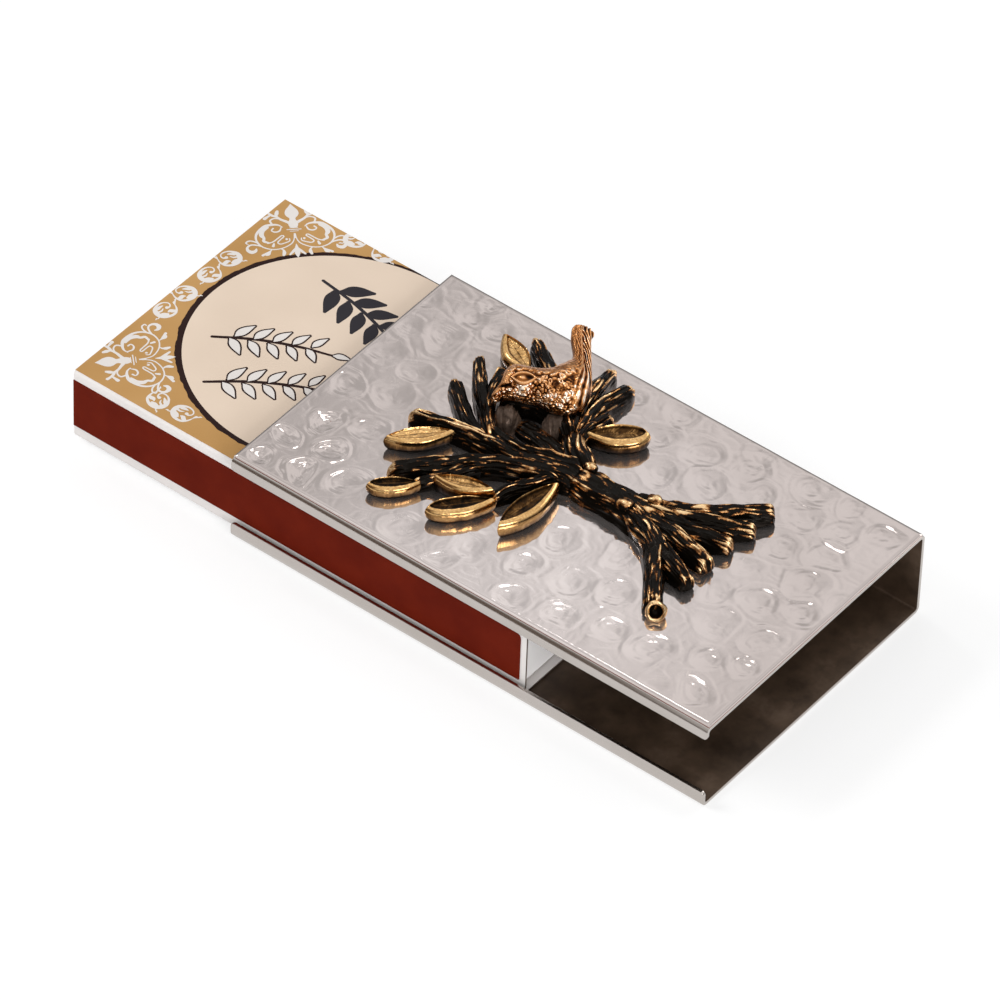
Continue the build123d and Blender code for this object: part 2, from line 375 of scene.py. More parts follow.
def rubbedMetal(tree, grainMm, lit, tones, most, rough, relief, white=None):
    # tones go from unrubbed to rubbed, and what is rubbed most shows the two lit colours in a fine grain
    rubAndPaintedLight = rubAndPaintedLightAt(tree)
    grain = noiseAt(tree, grainMm, 4.0, 0.6)
    bright = ramp(tree, grain, (0.35, lit[0]), (0.65, lit[1]))
    color = ramp(tree, rubAndPaintedLight, *tones)
    color = mixColor(tree, ramp(tree, rubAndPaintedLight, (0.5, 0.0), (0.9, most)), color, bright)
    # where a near-white is given, what is rubbed most is painted almost white: a painted highlight
    if white:
        color = mixColor(tree, ramp(tree, rubAndPaintedLight, (0.8, 0.0), (0.98, 0.9)), color, white)
    coat(tree, color, mixColor(tree, rubAndPaintedLight, *rough), (grain, *relief), 1.0)


def whiteBoard(tree, tone):
    color = ramp(tree, noiseAt(tree, 12.0, 2.0), (0.3, tone), (0.7, [min(255, part + 5) for part in tone]))
    coat(tree, color, 0.55, (noiseAt(tree, 0.8, 5.0, 0.6), 0.12, 0.03), specular=0.35)


def printColor(tree, tone, spread, roughness=0.5):
    # ink on paper: a tone with a fine fleck and a slow drift
    fleck = noiseAt(tree, 0.35, 3.0, 0.6)
    light = [min(255, part + spread) for part in tone]
    dark = [max(0, part - spread) for part in tone]
    color = ramp(tree, noiseAt(tree, 18.0, 2.0), (0.3, dark), (0.7, light))
    color = mixColor(tree, ramp(tree, fleck, (0.45, 0.0), (0.7, 0.25)), color, light)
    coat(tree, color, roughness, (fleck, 0.08, 0.02), specular=0.12)


def strikingCoat(tree):
    grit = noiseAt(tree, 0.25, 4.0, 0.7)
    color = ramp(tree, noiseAt(tree, 6.0, 3.0), (0.3, (96, 24, 10)), (0.7, (108, 30, 13)))
    color = mixColor(tree, ramp(tree, grit, (0.4, 0.0), (0.75, 0.35)), color, (76, 18, 8))
    coat(tree, color, 0.8, (grit, 0.3, 0.04), specular=0.06)


def grained(tree, grainShape, dark, light, roughness, strength, depth):
    grain = noiseAt(tree, *grainShape)
    coat(tree, ramp(tree, grain, (0.3, dark), (0.7, light)), roughness, (grain, strength, depth))


def newMaterial(name, fill, *values):
    material = bpy.data.materials.new(name)
    material.use_nodes = True
    fill(material.node_tree, *values)
    return material


leafTones = [(0.0, (14, 9, 5)), (0.3, (68, 45, 22)), (0.6, (146, 108, 63)), (1.0, (216, 176, 122))]
birdTones = [(0.0, (10, 5, 3)), (0.25, (62, 32, 14)), (0.5, (158, 98, 48)), (0.8, (224, 158, 100))]
finishes = {
    "polished": newMaterial("polished_sheet", polishedSheet),
    "raw": newMaterial("raw_sheet", rawSheet),
    "hammered": newMaterial("hammered_sheet", hammeredSheet),
    "bark": newMaterial("blackened_brass", blackenedBrass),
    "leaf": newMaterial("gilt_leaf", rubbedMetal, 0.5, ((174, 129, 72), (224, 182, 124)), leafTones, 0.7,
                        (0.38, 0.13), (0.3, 0.08)),
    # the bird's last colour, near white, is a painted highlight for its most rubbed band
    "bird": newMaterial("copper_gilt", rubbedMetal, 0.4, ((216, 150, 92), (250, 204, 156)), birdTones, 0.8,
                        (0.4, 0.14), (0.25, 0.06), (255, 240, 222)),
    "board": newMaterial("white_board", whiteBoard, (231, 226, 223)),
    # the tray's board is whiter than the sleeve's, raised against the holder's shade over it: painted light
    "tray": newMaterial("tray_board", whiteBoard, (248, 245, 244)),
    "cut": newMaterial("board_cut", whiteBoard, (92, 78, 70)),
    "tan": newMaterial("tan_print", printColor, (190, 146, 90), 7),
    "cream": newMaterial("cream_print", printColor, (229, 209, 189), 4),
    "white": newMaterial("white_print", printColor, (230, 224, 219), 4),
    "brown": newMaterial("brown_print", printColor, (36, 15, 12), 4),
    "charcoal": newMaterial("charcoal_print", printColor, (44, 41, 46), 4),
    "striker": newMaterial("striking_coat", strikingCoat),
    "glue": newMaterial("glue_line", printColor, (132, 62, 44), 8, 0.4),
    "wood": newMaterial("match_wood", grained, (0.7, 4.0, 0.6, (1.0, 0.06, 1.0)), (214, 180, 128),
                        (238, 212, 166), 0.7, 0.2, 0.05),
    "tip": newMaterial("match_tip", grained, (0.3, 4.0, 0.6), (110, 22, 18), (150, 36, 28), 0.8, 0.4, 0.08),
}

for node, finish in (("matchbox_tray", "tray"), ("match_sticks", "wood"), ("match_heads", "tip")):
    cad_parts[node].data.materials.clear()
    paint(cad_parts[node], finish)
print("materials made, plain nodes dressed")


# Holder: a bent sheet with two lips beside the open side

holder = {"sheet": 0.8, "bend": 1.3, "bendSteps": 7, "lowerLip": 3.7, "upperLip": 2.8, "edgeSoft": 0.12,
          "lipCorner": 0.8}


def makeHolder():
    low, high = Vector(shellBox[0]), Vector(shellBox[1])
    shell = addBox("holder_body", low, high)
    dropFaces(shell, isEnd)
    lipLines = [low.z + holder["lowerLip"] * mm, high.z - holder["upperLip"] * mm]
    for height in lipLines:
        cutAt(shell, (0, 0, height), (0, 0, 1))
    dropFaces(shell, lambda face: face.normal.y < -0.9
              and lipLines[0] < face.calc_center_median().z < lipLines[1])
    # the lips' free corners are rounded
    bevelAt(shell, "VERT", lambda point: abs(point.co.x) > high.x - 1e-6 and point.co.y < low.y + 1e-6
            and lipLines[0] - 1e-6 < point.co.z < lipLines[1] + 1e-6,
            holder["lipCorner"], 3, affect="VERTICES")
    # bend lines are the four long edges at the box's corners
    bevelAt(shell, "EDGE", lambda edge: len(edge.link_faces) == 2 and edge.calc_face_angle(0) > 1,
            holder["bend"], holder["bendSteps"])
    paint(shell, "polished", "raw")
    addModifier(shell, "SOLIDIFY", thickness=holder["sheet"] * mm, offset=-1, material_offset=1,
                use_even_offset=True)
    addModifier(shell, "BEVEL", width=holder["edgeSoft"] * mm, segments=2, limit_method="ANGLE",
                angle_limit=math.radians(50))
    smoothByAngle(shell, 30)
    settle(shell, "holder", "polished_sheet", "holder_shell")


makeHolder()
print("holder shell made")


# Hammered plate: round dimples from a ball hammer, in loose rows

plate = {"stepMm": 0.3, "grow": 0.2, "thick": 0.2, "seed": 7, "pitch": 9.6, "jitter": 2.2, "reach": 4.6,
         "depth": 0.13, "spread": 7.6, "bucket": 10, "crispDepth": 0.3, "softShare": 0.62, "calm": 1.6,
         "warp": 1.7, "warpSize": 6.5, "fineWarp": 0.28, "fineWarpSize": 2.2, "wave": 0.03, "waveSize": 12.0,
         "flow": 0.014, "rollWide": 0.7, "rollDrop": 0.22, "spare": 0.02,
         "glueTop": 0.24, "glueSink": 0.02, "glueInset": 0.01, "glueCorner": 0.2}
# rings round a dimple's middle: where as a share of its reach, how wide, how high
rings = [
    (0.24, 0.08, 0.08), (0.42, 0.08, -0.12), (0.62, 0.075, 0.14), (0.82, 0.07, -0.11), (1.0, 0.08, -0.13),
    (1.2, 0.075, 0.08),
]
# dimples read from the photograph: x, y, reach and depth
dimples = [
    (11.5, 24.2, 4.6, 0.17), (8.2, 15.0, 4.4, 0.16), (18.0, 18.0, 5.0, 0.18), (21.5, 26.5, 4.6, 0.15),
    (34.0, 30.5, 4.4, 0.2), (37.0, 22.5, 4.2, 0.15), (39.0, 13.5, 4.4, 0.15), (45.5, 24.5, 4.8, 0.18),
    (52.5, 27.5, 4.2, 0.24), (47.5, 16.8, 4.4, 0.18), (48.5, 8.0, 4.6, 0.17), (45.0, -1.0, 4.6, 0.17),
    (52.0, 1.2, 4.0, 0.18), (37.0, -3.8, 4.2, 0.13), (41.5, -11.0, 4.6, 0.13), (36.4, -24.0, 4.8, 0.19),
    (46.3, -19.2, 4.2, 0.16), (53.0, -17.0, 3.8, 0.15), (22.3, -16.5, 4.4, 0.18), (16.6, -8.4, 4.2, 0.14),
    (27.0, -25.0, 4.6, 0.16), (49.6, -28.0, 4.6, 0.17), (51.3, -9.1, 3.9, 0.13), (27.0, 21.0, 4.0, 0.14),
    (21.0, 32.0, 4.2, 0.12), (42.8, 31.5, 3.8, 0.13), (-53.5, -4.8, 4.3, 0.24), (-45.0, -1.0, 4.6, 0.14),
    (-45.2, 6.6, 3.8, 0.13), (-53.0, 8.0, 4.2, 0.12), (-47.0, 18.2, 4.6, 0.17), (-55.0, 16.0, 3.8, 0.12),
    (-49.5, -14.5, 3.4, 0.36), (-53.5, -23.0, 3.2, 0.36), (-44.2, -21.0, 3.4, 0.36),
    (-53.5, -31.0, 2.8, 0.34), (-45.3, -28.7, 3.4, 0.36), (-36.0, -26.0, 4.2, 0.26),
    (-42.0, -12.0, 4.0, 0.22), (-20.0, -28.8, 4.2, 0.16), (-7.4, -24.8, 4.4, 0.12), (5.0, -11.6, 4.4, 0.16),
    (3.5, -21.0, 4.2, 0.2), (13.6, -19.0, 4.8, 0.18), (17.0, -27.6, 4.2, 0.2), (7.8, -30.0, 3.8, 0.16),
    (-46.2, 27.0, 4.0, 0.14), (-46.0, 32.5, 3.4, 0.22), (-39.0, 26.5, 4.0, 0.15), (2.7, 30.9, 4.4, 0.15),
    (2.3, 22.8, 4.2, 0.15), (-9.0, -31.0, 3.6, 0.13),
]


def dimplePlaces(low, high):
    random.seed(plate["seed"])
    places = list(dimples)
    pitch, jitter = plate["pitch"], plate["jitter"]
    row = 0
    y = low.y - pitch / 2
    while y < high.y + pitch / 2:
        x = low.x - pitch / 2 + (row % 2) * pitch / 2
        while x < high.x + pitch / 2:
            spot = (x + random.uniform(-1, 1) * jitter, y + random.uniform(-1, 1) * jitter,
                    plate["reach"] * random.uniform(0.62, 1.0), plate["depth"] * random.uniform(0.4, 1.1))
            if all(math.hypot(spot[0] - dent[0], spot[1] - dent[1]) > plate["spread"] for dent in places):
                places.append(spot)
            x += pitch * 0.5
        y += pitch * 0.43
        row += 1
    return places


def dentAt(x, y, buckets):
    # how deep the dimples round a spot press it in, and how clear of them it lies
    sink, clear = 0.0, 1.0
    column, row = x // plate["bucket"], y // plate["bucket"]
    nearby = [dent for i in (-1, 0, 1) for j in (-1, 0, 1) for dent in buckets.get((column + i, row + j), ())]
    for cx, cy, reach, depth in nearby:
        q = ((x - cx) ** 2 + (y - cy) ** 2) / reach ** 2
        if q >= 2.2:
            continue
        clear = min(clear, max(0.0, math.sqrt(q) - 0.7))
        crisp = 1.0 if depth > plate["crispDepth"] else plate["softShare"]
        sink += depth * crisp * 0.8 * max(0.0, 1 - q) ** 1.6
        turn = math.atan2(y - cy, x - cx)
        for number, (where, wide, raised) in enumerate(rings):
            fade = 0.45 + 2.2 * waver(cx + math.cos(turn) * 1.3, cy + math.sin(turn) * 1.3, number * 4.1)
            fade = max(0.0, fade) * crisp
            sink += depth * raised * fade * math.exp(-((math.sqrt(q) - where) / wide) ** 2)
    return sink, clear


def makePlate():
    low, high = Vector(plateBox[0]), Vector(plateBox[1])
    low.x, high.x = low.x - plate["grow"] * mm, high.x + plate["grow"] * mm
    size = high - low
    cells = [int(size[axis] / (plate["stepMm"] * mm)) for axis in (0, 1)]
    bpy.ops.mesh.primitive_grid_add(x_subdivisions=cells[0], y_subdivisions=cells[1], size=1,
                                    location=((low.x + high.x) / 2, (low.y + high.y) / 2, high.z))
    sheet = bpy.context.object
    sheet.name = "hammered_top"
    sheet.scale = (size.x, size.y, 1)
    bakePlace(sheet)
    buckets = {}
    for dent in dimplePlaces(low / mm, high / mm):
        buckets.setdefault((dent[0] // plate["bucket"], dent[1] // plate["bucket"]), []).append(dent)
    for point in sheet.data.vertices:
        x, y = point.co.x / mm, point.co.y / mm
        edge = min(x - low.x / mm, high.x / mm - x, y - low.y / mm, high.y / mm - y)
        drift = noise.noise_vector(Vector((x, y, 5.0)) / plate["warpSize"]) * plate["warp"]
        drift += noise.noise_vector(Vector((x, y, 9.0)) / plate["fineWarpSize"]) * plate["fineWarp"]
        x, y = x + drift.x, y + drift.y
        sink, clear = dentAt(x, y, buckets)
        # long soft folds run between the dimples
        level = waver(x, y, 2.0, 8.0) * 2.4 + waver(x, y, 4.0, 3.4) * 0.5
        sink += plate["flow"] * clear * (1 - abs(math.sin(level * math.pi * 1.6))) ** 2
        calm = min(1.0, max(0.0, edge / plate["calm"]))
        wave = waver(x, y, 0, plate["waveSize"]) * plate["wave"]
        roll = plate["rollDrop"] * max(0.0, 1 - edge / plate["rollWide"]) ** 2
        point.co.z -= max(0.0, sink * calm + plate["wave"] + wave + plate["spare"] + roll) * mm
    closeUnder(sheet, plate["thick"] * mm)
    paint(sheet, "hammered")
    smoothByAngle(sheet, 40)
    settle(sheet, "holder", "hammered_sheet", "hammered_plate")
    # the glue under the sheet shows as a thin red-brown line
    inset, under = plate["glueInset"] * mm, Vector(plateBox[0]).z
    glue = addBox("glue_line", (low.x + inset, low.y + inset, under - plate["glueSink"] * mm),
                  (high.x - inset, high.y - inset, under + plate["glueTop"] * mm))
    bevelAt(glue, "EDGE", lambda edge: runsAlong(edge, 2), plate["glueCorner"], 2)
    paint(glue, "glue")
    settle(glue, "holder", "hammered_sheet")


makePlate()
print("hammered plate made")


# Sleeve of the matchbox: folded board, open at both ends, with a striking strip on each long side

sleeve = {"board": 0.42, "corner": 0.8, "cornerSteps": 5}
striker = {"topCorner": 1.1, "lowCorner": 0.35, "steps": 4, "lowTrim": 0.45}


def makeSleeve():
    tube = addBox("sleeve_board", *sleeveBox)
    dropFaces(tube, isEnd)
    bevelAt(tube, "EDGE", lambda edge: len(edge.link_faces) == 2, sleeve["corner"], sleeve["cornerSteps"])
    paint(tube, "board", "cut")
    addModifier(tube, "SOLIDIFY", thickness=sleeve["board"] * mm, offset=-1, material_offset_rim=1,
                use_even_offset=True)
    smoothByAngle(tube, 30)
    settle(tube, "matchbox", "white_board", "matchbox_sleeve")


def makeStriker(node):
    low, high = (Vector(corner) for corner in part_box(node))
    low.z += striker["lowTrim"] * mm
    strip = addBox(node + "_strip", low, high)
    # the free end's corners are cut round, the upper one more
    for top, size in ((True, striker["topCorner"]), (False, striker["lowCorner"])):
        bevelAt(strip, "EDGE", lambda edge: runsAlong(edge, 1) and middleOf(edge).x > high.x - 0.0001
                and (middleOf(edge).z > (low.z + high.z) / 2) == top, size, striker["steps"])
    paint(strip, "striker")
    settle(strip, "matchbox", "striking_coat", node)


makeSleeve()
makeStriker("striker_front")
makeStriker("striker_back")
print("sleeve and striking strips made")


# Printed label: flat layers of ink that lie on the sleeve's top paper

label = {"paper": 0.075, "paperEdge": 0.03, "layer": 0.003, "overlap": 0.0004, "laid": 0, "cycle": 45,
         "leafLayer": 0.0185, "swirlSize": 0.92, "strokeStep": 0.22, "thinnest": 0.03,
         "fieldCentre": (-60.4, 2.6), "fieldHalf": (31.9, 29.6), "fieldPoints": 420, "ringThick": 1.2,
         "ringThin": 0.4, "ringHeavySide": 215.0, "ringRough": 0.17, "ringLap": 0.1, "seed": 21}
capTurns = [math.radians(turn) for turn in (60, 30, 0, -30, -60)]
# strokes on a corner scroll's axis, of x along the axis, y beside it and half width, in mm
scrollBoth = [
    [(0.0, 0, 0.04), (0.8, 0, 0.55), (1.7, 0, 1.15), (2.7, 0, 1.4), (3.5, 0, 1.15), (4.2, 0, 0.6),
     (4.8, 0, 0.7), (5.5, 0, 1.0), (6.2, 0, 0.95)],
    [(8.7, 0, 0.06), (9.3, 0, 0.28), (10.0, 0, 0.1)],
    [(11.8, 0, 0.06), (13.0, 0, 0.4), (14.2, 0, 0.55), (15.0, 0, 0.4), (15.7, 0, 0.08)],
    [(7.0, -0.8, 0.09), (7.0, 0.8, 0.09)],
    [(7.5, -1.4, 0.12), (7.5, 1.4, 0.12)],
    [(8.0, -0.8, 0.09), (8.0, 0.8, 0.09)],
]
# strokes of one half of the scroll
scrollHalf = [
    [(5.9, 0.3, 0.4), (5.1, 1.3, 0.34), (4.4, 2.3, 0.28), (3.4, 3.1, 0.26), (2.6, 3.0, 0.42),
     (1.9, 2.8, 0.3)],
    [(3.5, 3.2, 0.26), (3.1, 3.9, 0.3), (2.5, 4.5, 0.28), (1.9, 4.9, 0.34)],
    [(2.9, 4.2, 0.2), (3.4, 4.9, 0.28), (3.9, 5.5, 0.4)],
    [(4.9, 1.5, 0.16), (4.2, 2.6, 0.17), (4.0, 3.7, 0.17), (4.6, 4.5, 0.2), (5.7, 4.2, 0.2)],
    [(8.7, 0.1, 0.1), (10.2, 0.25, 0.12), (11.5, 0.8, 0.14), (12.5, 2.1, 0.14), (13.0, 3.5, 0.15),
     (13.0, 5.0, 0.15), (12.3, 6.5, 0.17), (11.2, 7.4, 0.2), (9.8, 7.8, 0.22), (8.4, 7.6, 0.26),
     (7.2, 6.8, 0.34), (6.1, 5.6, 0.38), (5.8, 4.2, 0.3), (6.0, 3.0, 0.2), (6.7, 2.2, 0.08)],
    [(6.5, 5.2, 0.3), (7.5, 6.3, 0.45), (8.7, 6.6, 0.5), (9.6, 6.2, 0.3), (10.5, 6.3, 0.32),
     (11.1, 5.3, 0.2)],
    [(6.7, 2.5, 0.12), (7.7, 2.9, 0.2), (8.0, 3.8, 0.2), (7.5, 4.5, 0.15), (6.9, 4.1, 0.2)],
    [(11.2, 5.6, 0.15), (10.8, 4.5, 0.16), (9.9, 3.5, 0.16), (9.1, 2.6, 0.15), (9.4, 2.2, 0.15),
     (10.3, 3.0, 0.15), (11.1, 3.6, 0.15), (11.6, 3.1, 0.15), (11.3, 2.1, 0.15), (10.8, 1.2, 0.14),
     (10.1, 1.2, 0.1)],
    [(10.2, 1.75, 0.25), (10.3, 1.75, 0.25)],
    [(12.1, 4.6, 0.3), (11.4, 4.4, 0.2)],
    [(13.0, 4.9, 0.12), (13.5, 5.3, 0.16), (14.2, 5.8, 0.5), (14.4, 6.1, 0.42)],
    [(13.5, 5.3, 0.14), (14.6, 6.9, 0.3)],
    [(13.0, 3.1, 0.12), (13.4, 2.7, 0.2), (14.2, 2.6, 0.38), (14.9, 2.8, 0.26)],
    [(12.0, 6.8, 0.14), (11.5, 7.9, 0.2), (11.4, 9.0, 0.22), (12.0, 9.7, 0.26), (12.9, 9.7, 0.36),
     (13.5, 9.0, 0.48), (13.2, 8.2, 0.36), (12.6, 8.0, 0.16)],
    [(10.9, 7.6, 0.16), (10.3, 8.5, 0.18), (10.2, 9.4, 0.18), (10.8, 9.9, 0.18), (11.1, 9.5, 0.12)],
    [(12.8, 0.1, 0.16), (13.9, 0.8, 0.3), (14.8, 1.5, 0.22)],
]
# a round swirl of leaf-like strokes that ends in a bead, its middle at zero
swirlStrokes = [
    [(2.5, 0.9, 0.1), (2.45, -0.4, 0.2), (1.9, -1.6, 0.28), (0.8, -2.2, 0.34), (-0.5, -2.2, 0.44),
     (-1.55, -1.65, 0.52), (-2.1, -0.6, 0.58), (-2.1, 0.5, 0.5), (-1.6, 1.35, 0.34), (-0.7, 2.0, 0.24),
     (0.4, 2.15, 0.18), (1.3, 1.75, 0.16), (1.5, 1.0, 0.17), (1.15, 0.45, 0.22), (0.6, 0.45, 0.42)],
    [(2.2, -1.0, 0.2), (1.5, -1.0, 0.5), (0.9, -0.75, 0.46), (0.35, -0.95, 0.16)],
    [(-1.4, -1.2, 0.3), (-0.7, -1.3, 0.44), (0.1, -1.6, 0.3)],
    [(-1.4, 0.7, 0.4), (-0.7, 1.1, 0.34), (-0.1, 1.3, 0.14)],
    [(-1.4, -0.3, 0.26), (-0.8, -0.15, 0.22), (-0.3, 0.4, 0.1)],
    [(2.5, 0.8, 0.12), (2.6, 1.5, 0.34), (2.9, 1.7, 0.16), (3.1, 2.2, 0.2), (3.4, 2.4, 0.08)],
    [(-1.9, -1.8, 0.2), (-2.4, -2.2, 0.12), (-2.7, -2.1, 0.2), (-3.0, -2.4, 0.08)],
]
# tip of each scroll and direction of its axis in degrees
scrollPlaces = [
    (-96.7, -28.4, 46.0), (-96.7, 31.8, -45.0), (12.0, -28.4, 134.0), (12.0, 31.8, -135.0),
]
# middle of each swirl, turn in degrees, turned over or not
swirlPlaces = [
    (-96.0, -7.9, 60.0, False), (-96.1, -1.7, 245.0, True), (-95.9, 5.6, 60.0, False),
    (-95.8, 11.8, 245.0, True), (-80.4, -28.6, 160.0, True), (-74.4, -28.4, -15.0, False),
    (-80.2, 32.0, 20.0, False), (-73.2, 32.2, 200.0, True), (-27.4, -28.6, 160.0, True),
    (-21.4, -28.4, -15.0, False), (-14.0, -28.6, 160.0, True), (-8.0, -28.4, -15.0, False),
    (-27.4, 32.0, 20.0, False), (-20.4, 32.2, 200.0, True), (-13.2, 32.0, 20.0, False),
    (-6.2, 32.2, 200.0, True), (11.2, -7.9, 120.0, True), (11.2, -1.7, -65.0, False),
    (11.2, 5.6, 120.0, True), (11.2, 11.8, -65.0, False),
]
# plain leaf sprigs in the field: foot, direction, length, pairs of leaves, leaf length, solid or outlined
sprigs = [
    (-84.0, -8.0, 28.0, 24.0, 5, 5.4, False), (-77.0, -19.0, 34.0, 25.0, 5, 5.4, False),
    (-77.5, 18.5, -14.0, 26.0, 5, 7.0, True),
]


def onPlan(place, origin, turn, flip=1.0):
    angle = math.radians(turn)
    x, y = place[0], place[1] * flip
    return (origin[0] + x * math.cos(angle) - y * math.sin(angle),
            origin[1] + x * math.sin(angle) + y * math.cos(angle))


def addStroke(build, rows, origin, turn, flip, z, grow=0.0):
    # a flat ribbon with round ends along a smooth line, each a hair above the one before
    points, faces = build
    label["laid"] += 1
    z += label["laid"] % label["cycle"] * label["overlap"] * mm
    run = smoothRun(rows, label["strokeStep"])
    count = len(run)
    left, right, caps = [], [], []
    for index, (x, y, half) in enumerate(run):
        before, after = run[max(index - 1, 0)], run[min(index + 1, count - 1)]
        ahead = Vector((after[0] - before[0], after[1] - before[1])).normalized()
        half = max(label["thinnest"], half) + grow
        left.append((x - ahead.y * half, y + ahead.x * half))
        right.append((x + ahead.y * half, y - ahead.x * half))
        if index in (0, count - 1):
            way = -1 if index == 0 else 1
            caps += [(x + math.cos(a) * ahead.x * half * way - math.sin(a) * ahead.y * half,
                      y + math.cos(a) * ahead.y * half * way + math.sin(a) * ahead.x * half)
                     for a in capTurns]
    first = len(points)
    for place in left + right + caps:
        x, y = onPlan(place, origin, turn, flip)
        points.append((x * mm, y * mm, z))
    for k in range(count - 1):
        faces.append((first + k, first + count + k, first + count + k + 1, first + k + 1))
    cap = first + 2 * count
    faces.append((first, *range(cap, cap + 5), first + count))
    faces.append((cap - 1, *reversed(range(cap + 5, cap + 10)), first + count - 1))


def finishLayer(name, build, finish):
    piece = meshPiece(name, *build)
    # what runs over the paper's edge is cut off
    for corner, sign in zip(labelBox, (-1, 1)):
        for way in ((sign, 0, 0), (0, sign, 0)):
            cutAt(piece, corner, way, clear_outer=True)
    for face in piece.data.polygons:
        if face.normal.z < 0:
            face.flip()
    paint(piece, finish)
    settle(piece, "matchbox", "printed_paper")


def addSprig(dark, light, foot, turn, length, pairs, leafLong, solid, z):
    # a bent stem with pairs of leaves and one at its end
    stem = [(0, 0, 0.22), (length * 0.35, 0.9, 0.26), (length * 0.7, 0.6, 0.24), (length, -0.6, 0.16)]
    addStroke(dark, stem, foot, turn, 1.0, z, 0.12)
    blades = [(length, -0.6, -8.0)]
    for pair in range(pairs):
        along = length * (0.14 + 0.8 * pair / pairs)
        for side in (1, -1):
            blades.append((along + (0.9 if side > 0 else 0.0), 0.6 + side * 0.25, side * 52.0 - 4.0))
    for x, y, lean in blades:
        size = leafLong * (1.0 - 0.3 * x / length)
        start = onPlan((x, y), foot, turn)
        rows = [(0.2, 0, 0.1), (size * 0.3, 0.15, size * 0.17), (size * 0.6, 0.15, size * 0.16),
                (size, 0, 0.05)]
        addStroke(dark, rows, start, turn + lean, 1.0, z, 0.34)
        if not solid:
            addStroke(light, rows, start, turn + lean, 1.0, z + label["leafLayer"] * mm, -0.02)


def makeField(fieldZ, ringZ):
    # an oval field with a rough brushed ring, heavier on one side
    centre, half = label["fieldCentre"], label["fieldHalf"]
    count = label["fieldPoints"]
    field, ring = ([], []), ([], [])
    for k in range(count):
        turn = 2 * math.pi * k / count
        x, y = math.cos(turn), math.sin(turn)
        heavy = 0.5 + 0.5 * math.cos(turn - math.radians(label["ringHeavySide"]))
        thick = mix(label["ringThin"], label["ringThick"], heavy ** 1.3)
        rough = waver(x * 9, y * 9, label["seed"]) + 0.6 * waver(x * 30, y * 30, 3.0)
        thick = max(0.12, thick + rough * label["ringRough"] * 1.6 * (0.4 + heavy))
        inner = (centre[0] + x * half[0], centre[1] + y * half[1])
        lap = (inner[0] - x * label["ringLap"], inner[1] - y * label["ringLap"])
        outer = (inner[0] + x * thick, inner[1] + y * thick)
        field[0].append((inner[0] * mm, inner[1] * mm, fieldZ))
        ring[0].extend((place[0] * mm, place[1] * mm, ringZ) for place in (lap, outer))
        ring[1].append((2 * k, 2 * k + 1, (2 * k + 3) % (2 * count), (2 * k + 2) % (2 * count)))
    field[1].append(tuple(range(count)))
    finishLayer("label_field", field, "cream")
    finishLayer("label_ring", ring, "brown")


def makeLabel():
    low, high = Vector(labelBox[0]), Vector(labelBox[1])
    top = low.z + label["paper"] * mm
    levels = [top + step * label["layer"] * mm for step in (1, 2, 3)]
    paper = addBox("label_paper", low, (high.x, high.y, top))
    bevelAt(paper, "EDGE", lambda edge: middleOf(edge).z > top - 1e-6, label["paperEdge"], 2)
    paint(paper, "tan")
    settle(paper, "matchbox", "printed_paper", "printed_label")
    makeField(levels[0], levels[1])

    scrolls = ([], [])
    for x, y, turn in scrollPlaces:
        for flip, strokes in ((1.0, scrollBoth), (1.0, scrollHalf), (-1.0, scrollHalf)):
            for rows in strokes:
                addStroke(scrolls, rows, (x, y), turn, flip, levels[2])
    for x, y, turn, over in swirlPlaces:
        for rows in swirlStrokes:
            rows = [[value * label["swirlSize"] for value in row] for row in rows]
            addStroke(scrolls, rows, (x, y), turn, -1.0 if over else 1.0, levels[2])
    finishLayer("label_scrolls", scrolls, "white")

    dark, light, charcoal = ([], []), ([], []), ([], [])
    for x, y, turn, length, pairs, leafLong, solid in sprigs:
        addSprig(charcoal if solid else dark, light, (x, y), turn, length, pairs, leafLong, solid, levels[2])
    finishLayer("label_sprig_lines", dark, "brown")
    finishLayer("label_sprig_leaves", light, "white")
    finishLayer("label_dark_sprig", charcoal, "charcoal")


makeLabel()
print("label made")


# Tree castings: overlapping limbs of wood, each swept along its own line

wood = {"reach": 37.0, "halfWidth": 4.0, "height": 4.6, "step": 0.25, "around": 56, "sink": 0.45,
        "noseSteps": 9, "crest": 0.3, "crestWide": 0.54, "crestLong": 3.9, "flute": 0.42, "fluteWide": 2.0,
        "fluteLong": 20.0, "fineWide": 0.4, "fineLong": 1.9, "tipLift": 0.6, "tipLong": 6.0, "mostRub": 1.4}
# how long and how blunt a limb's end is: roots end square, boughs in a fingertip
limbEnds = {"tree_trunk": (0.75, 3.0), "tree_crown": (1.5, 2.1)}
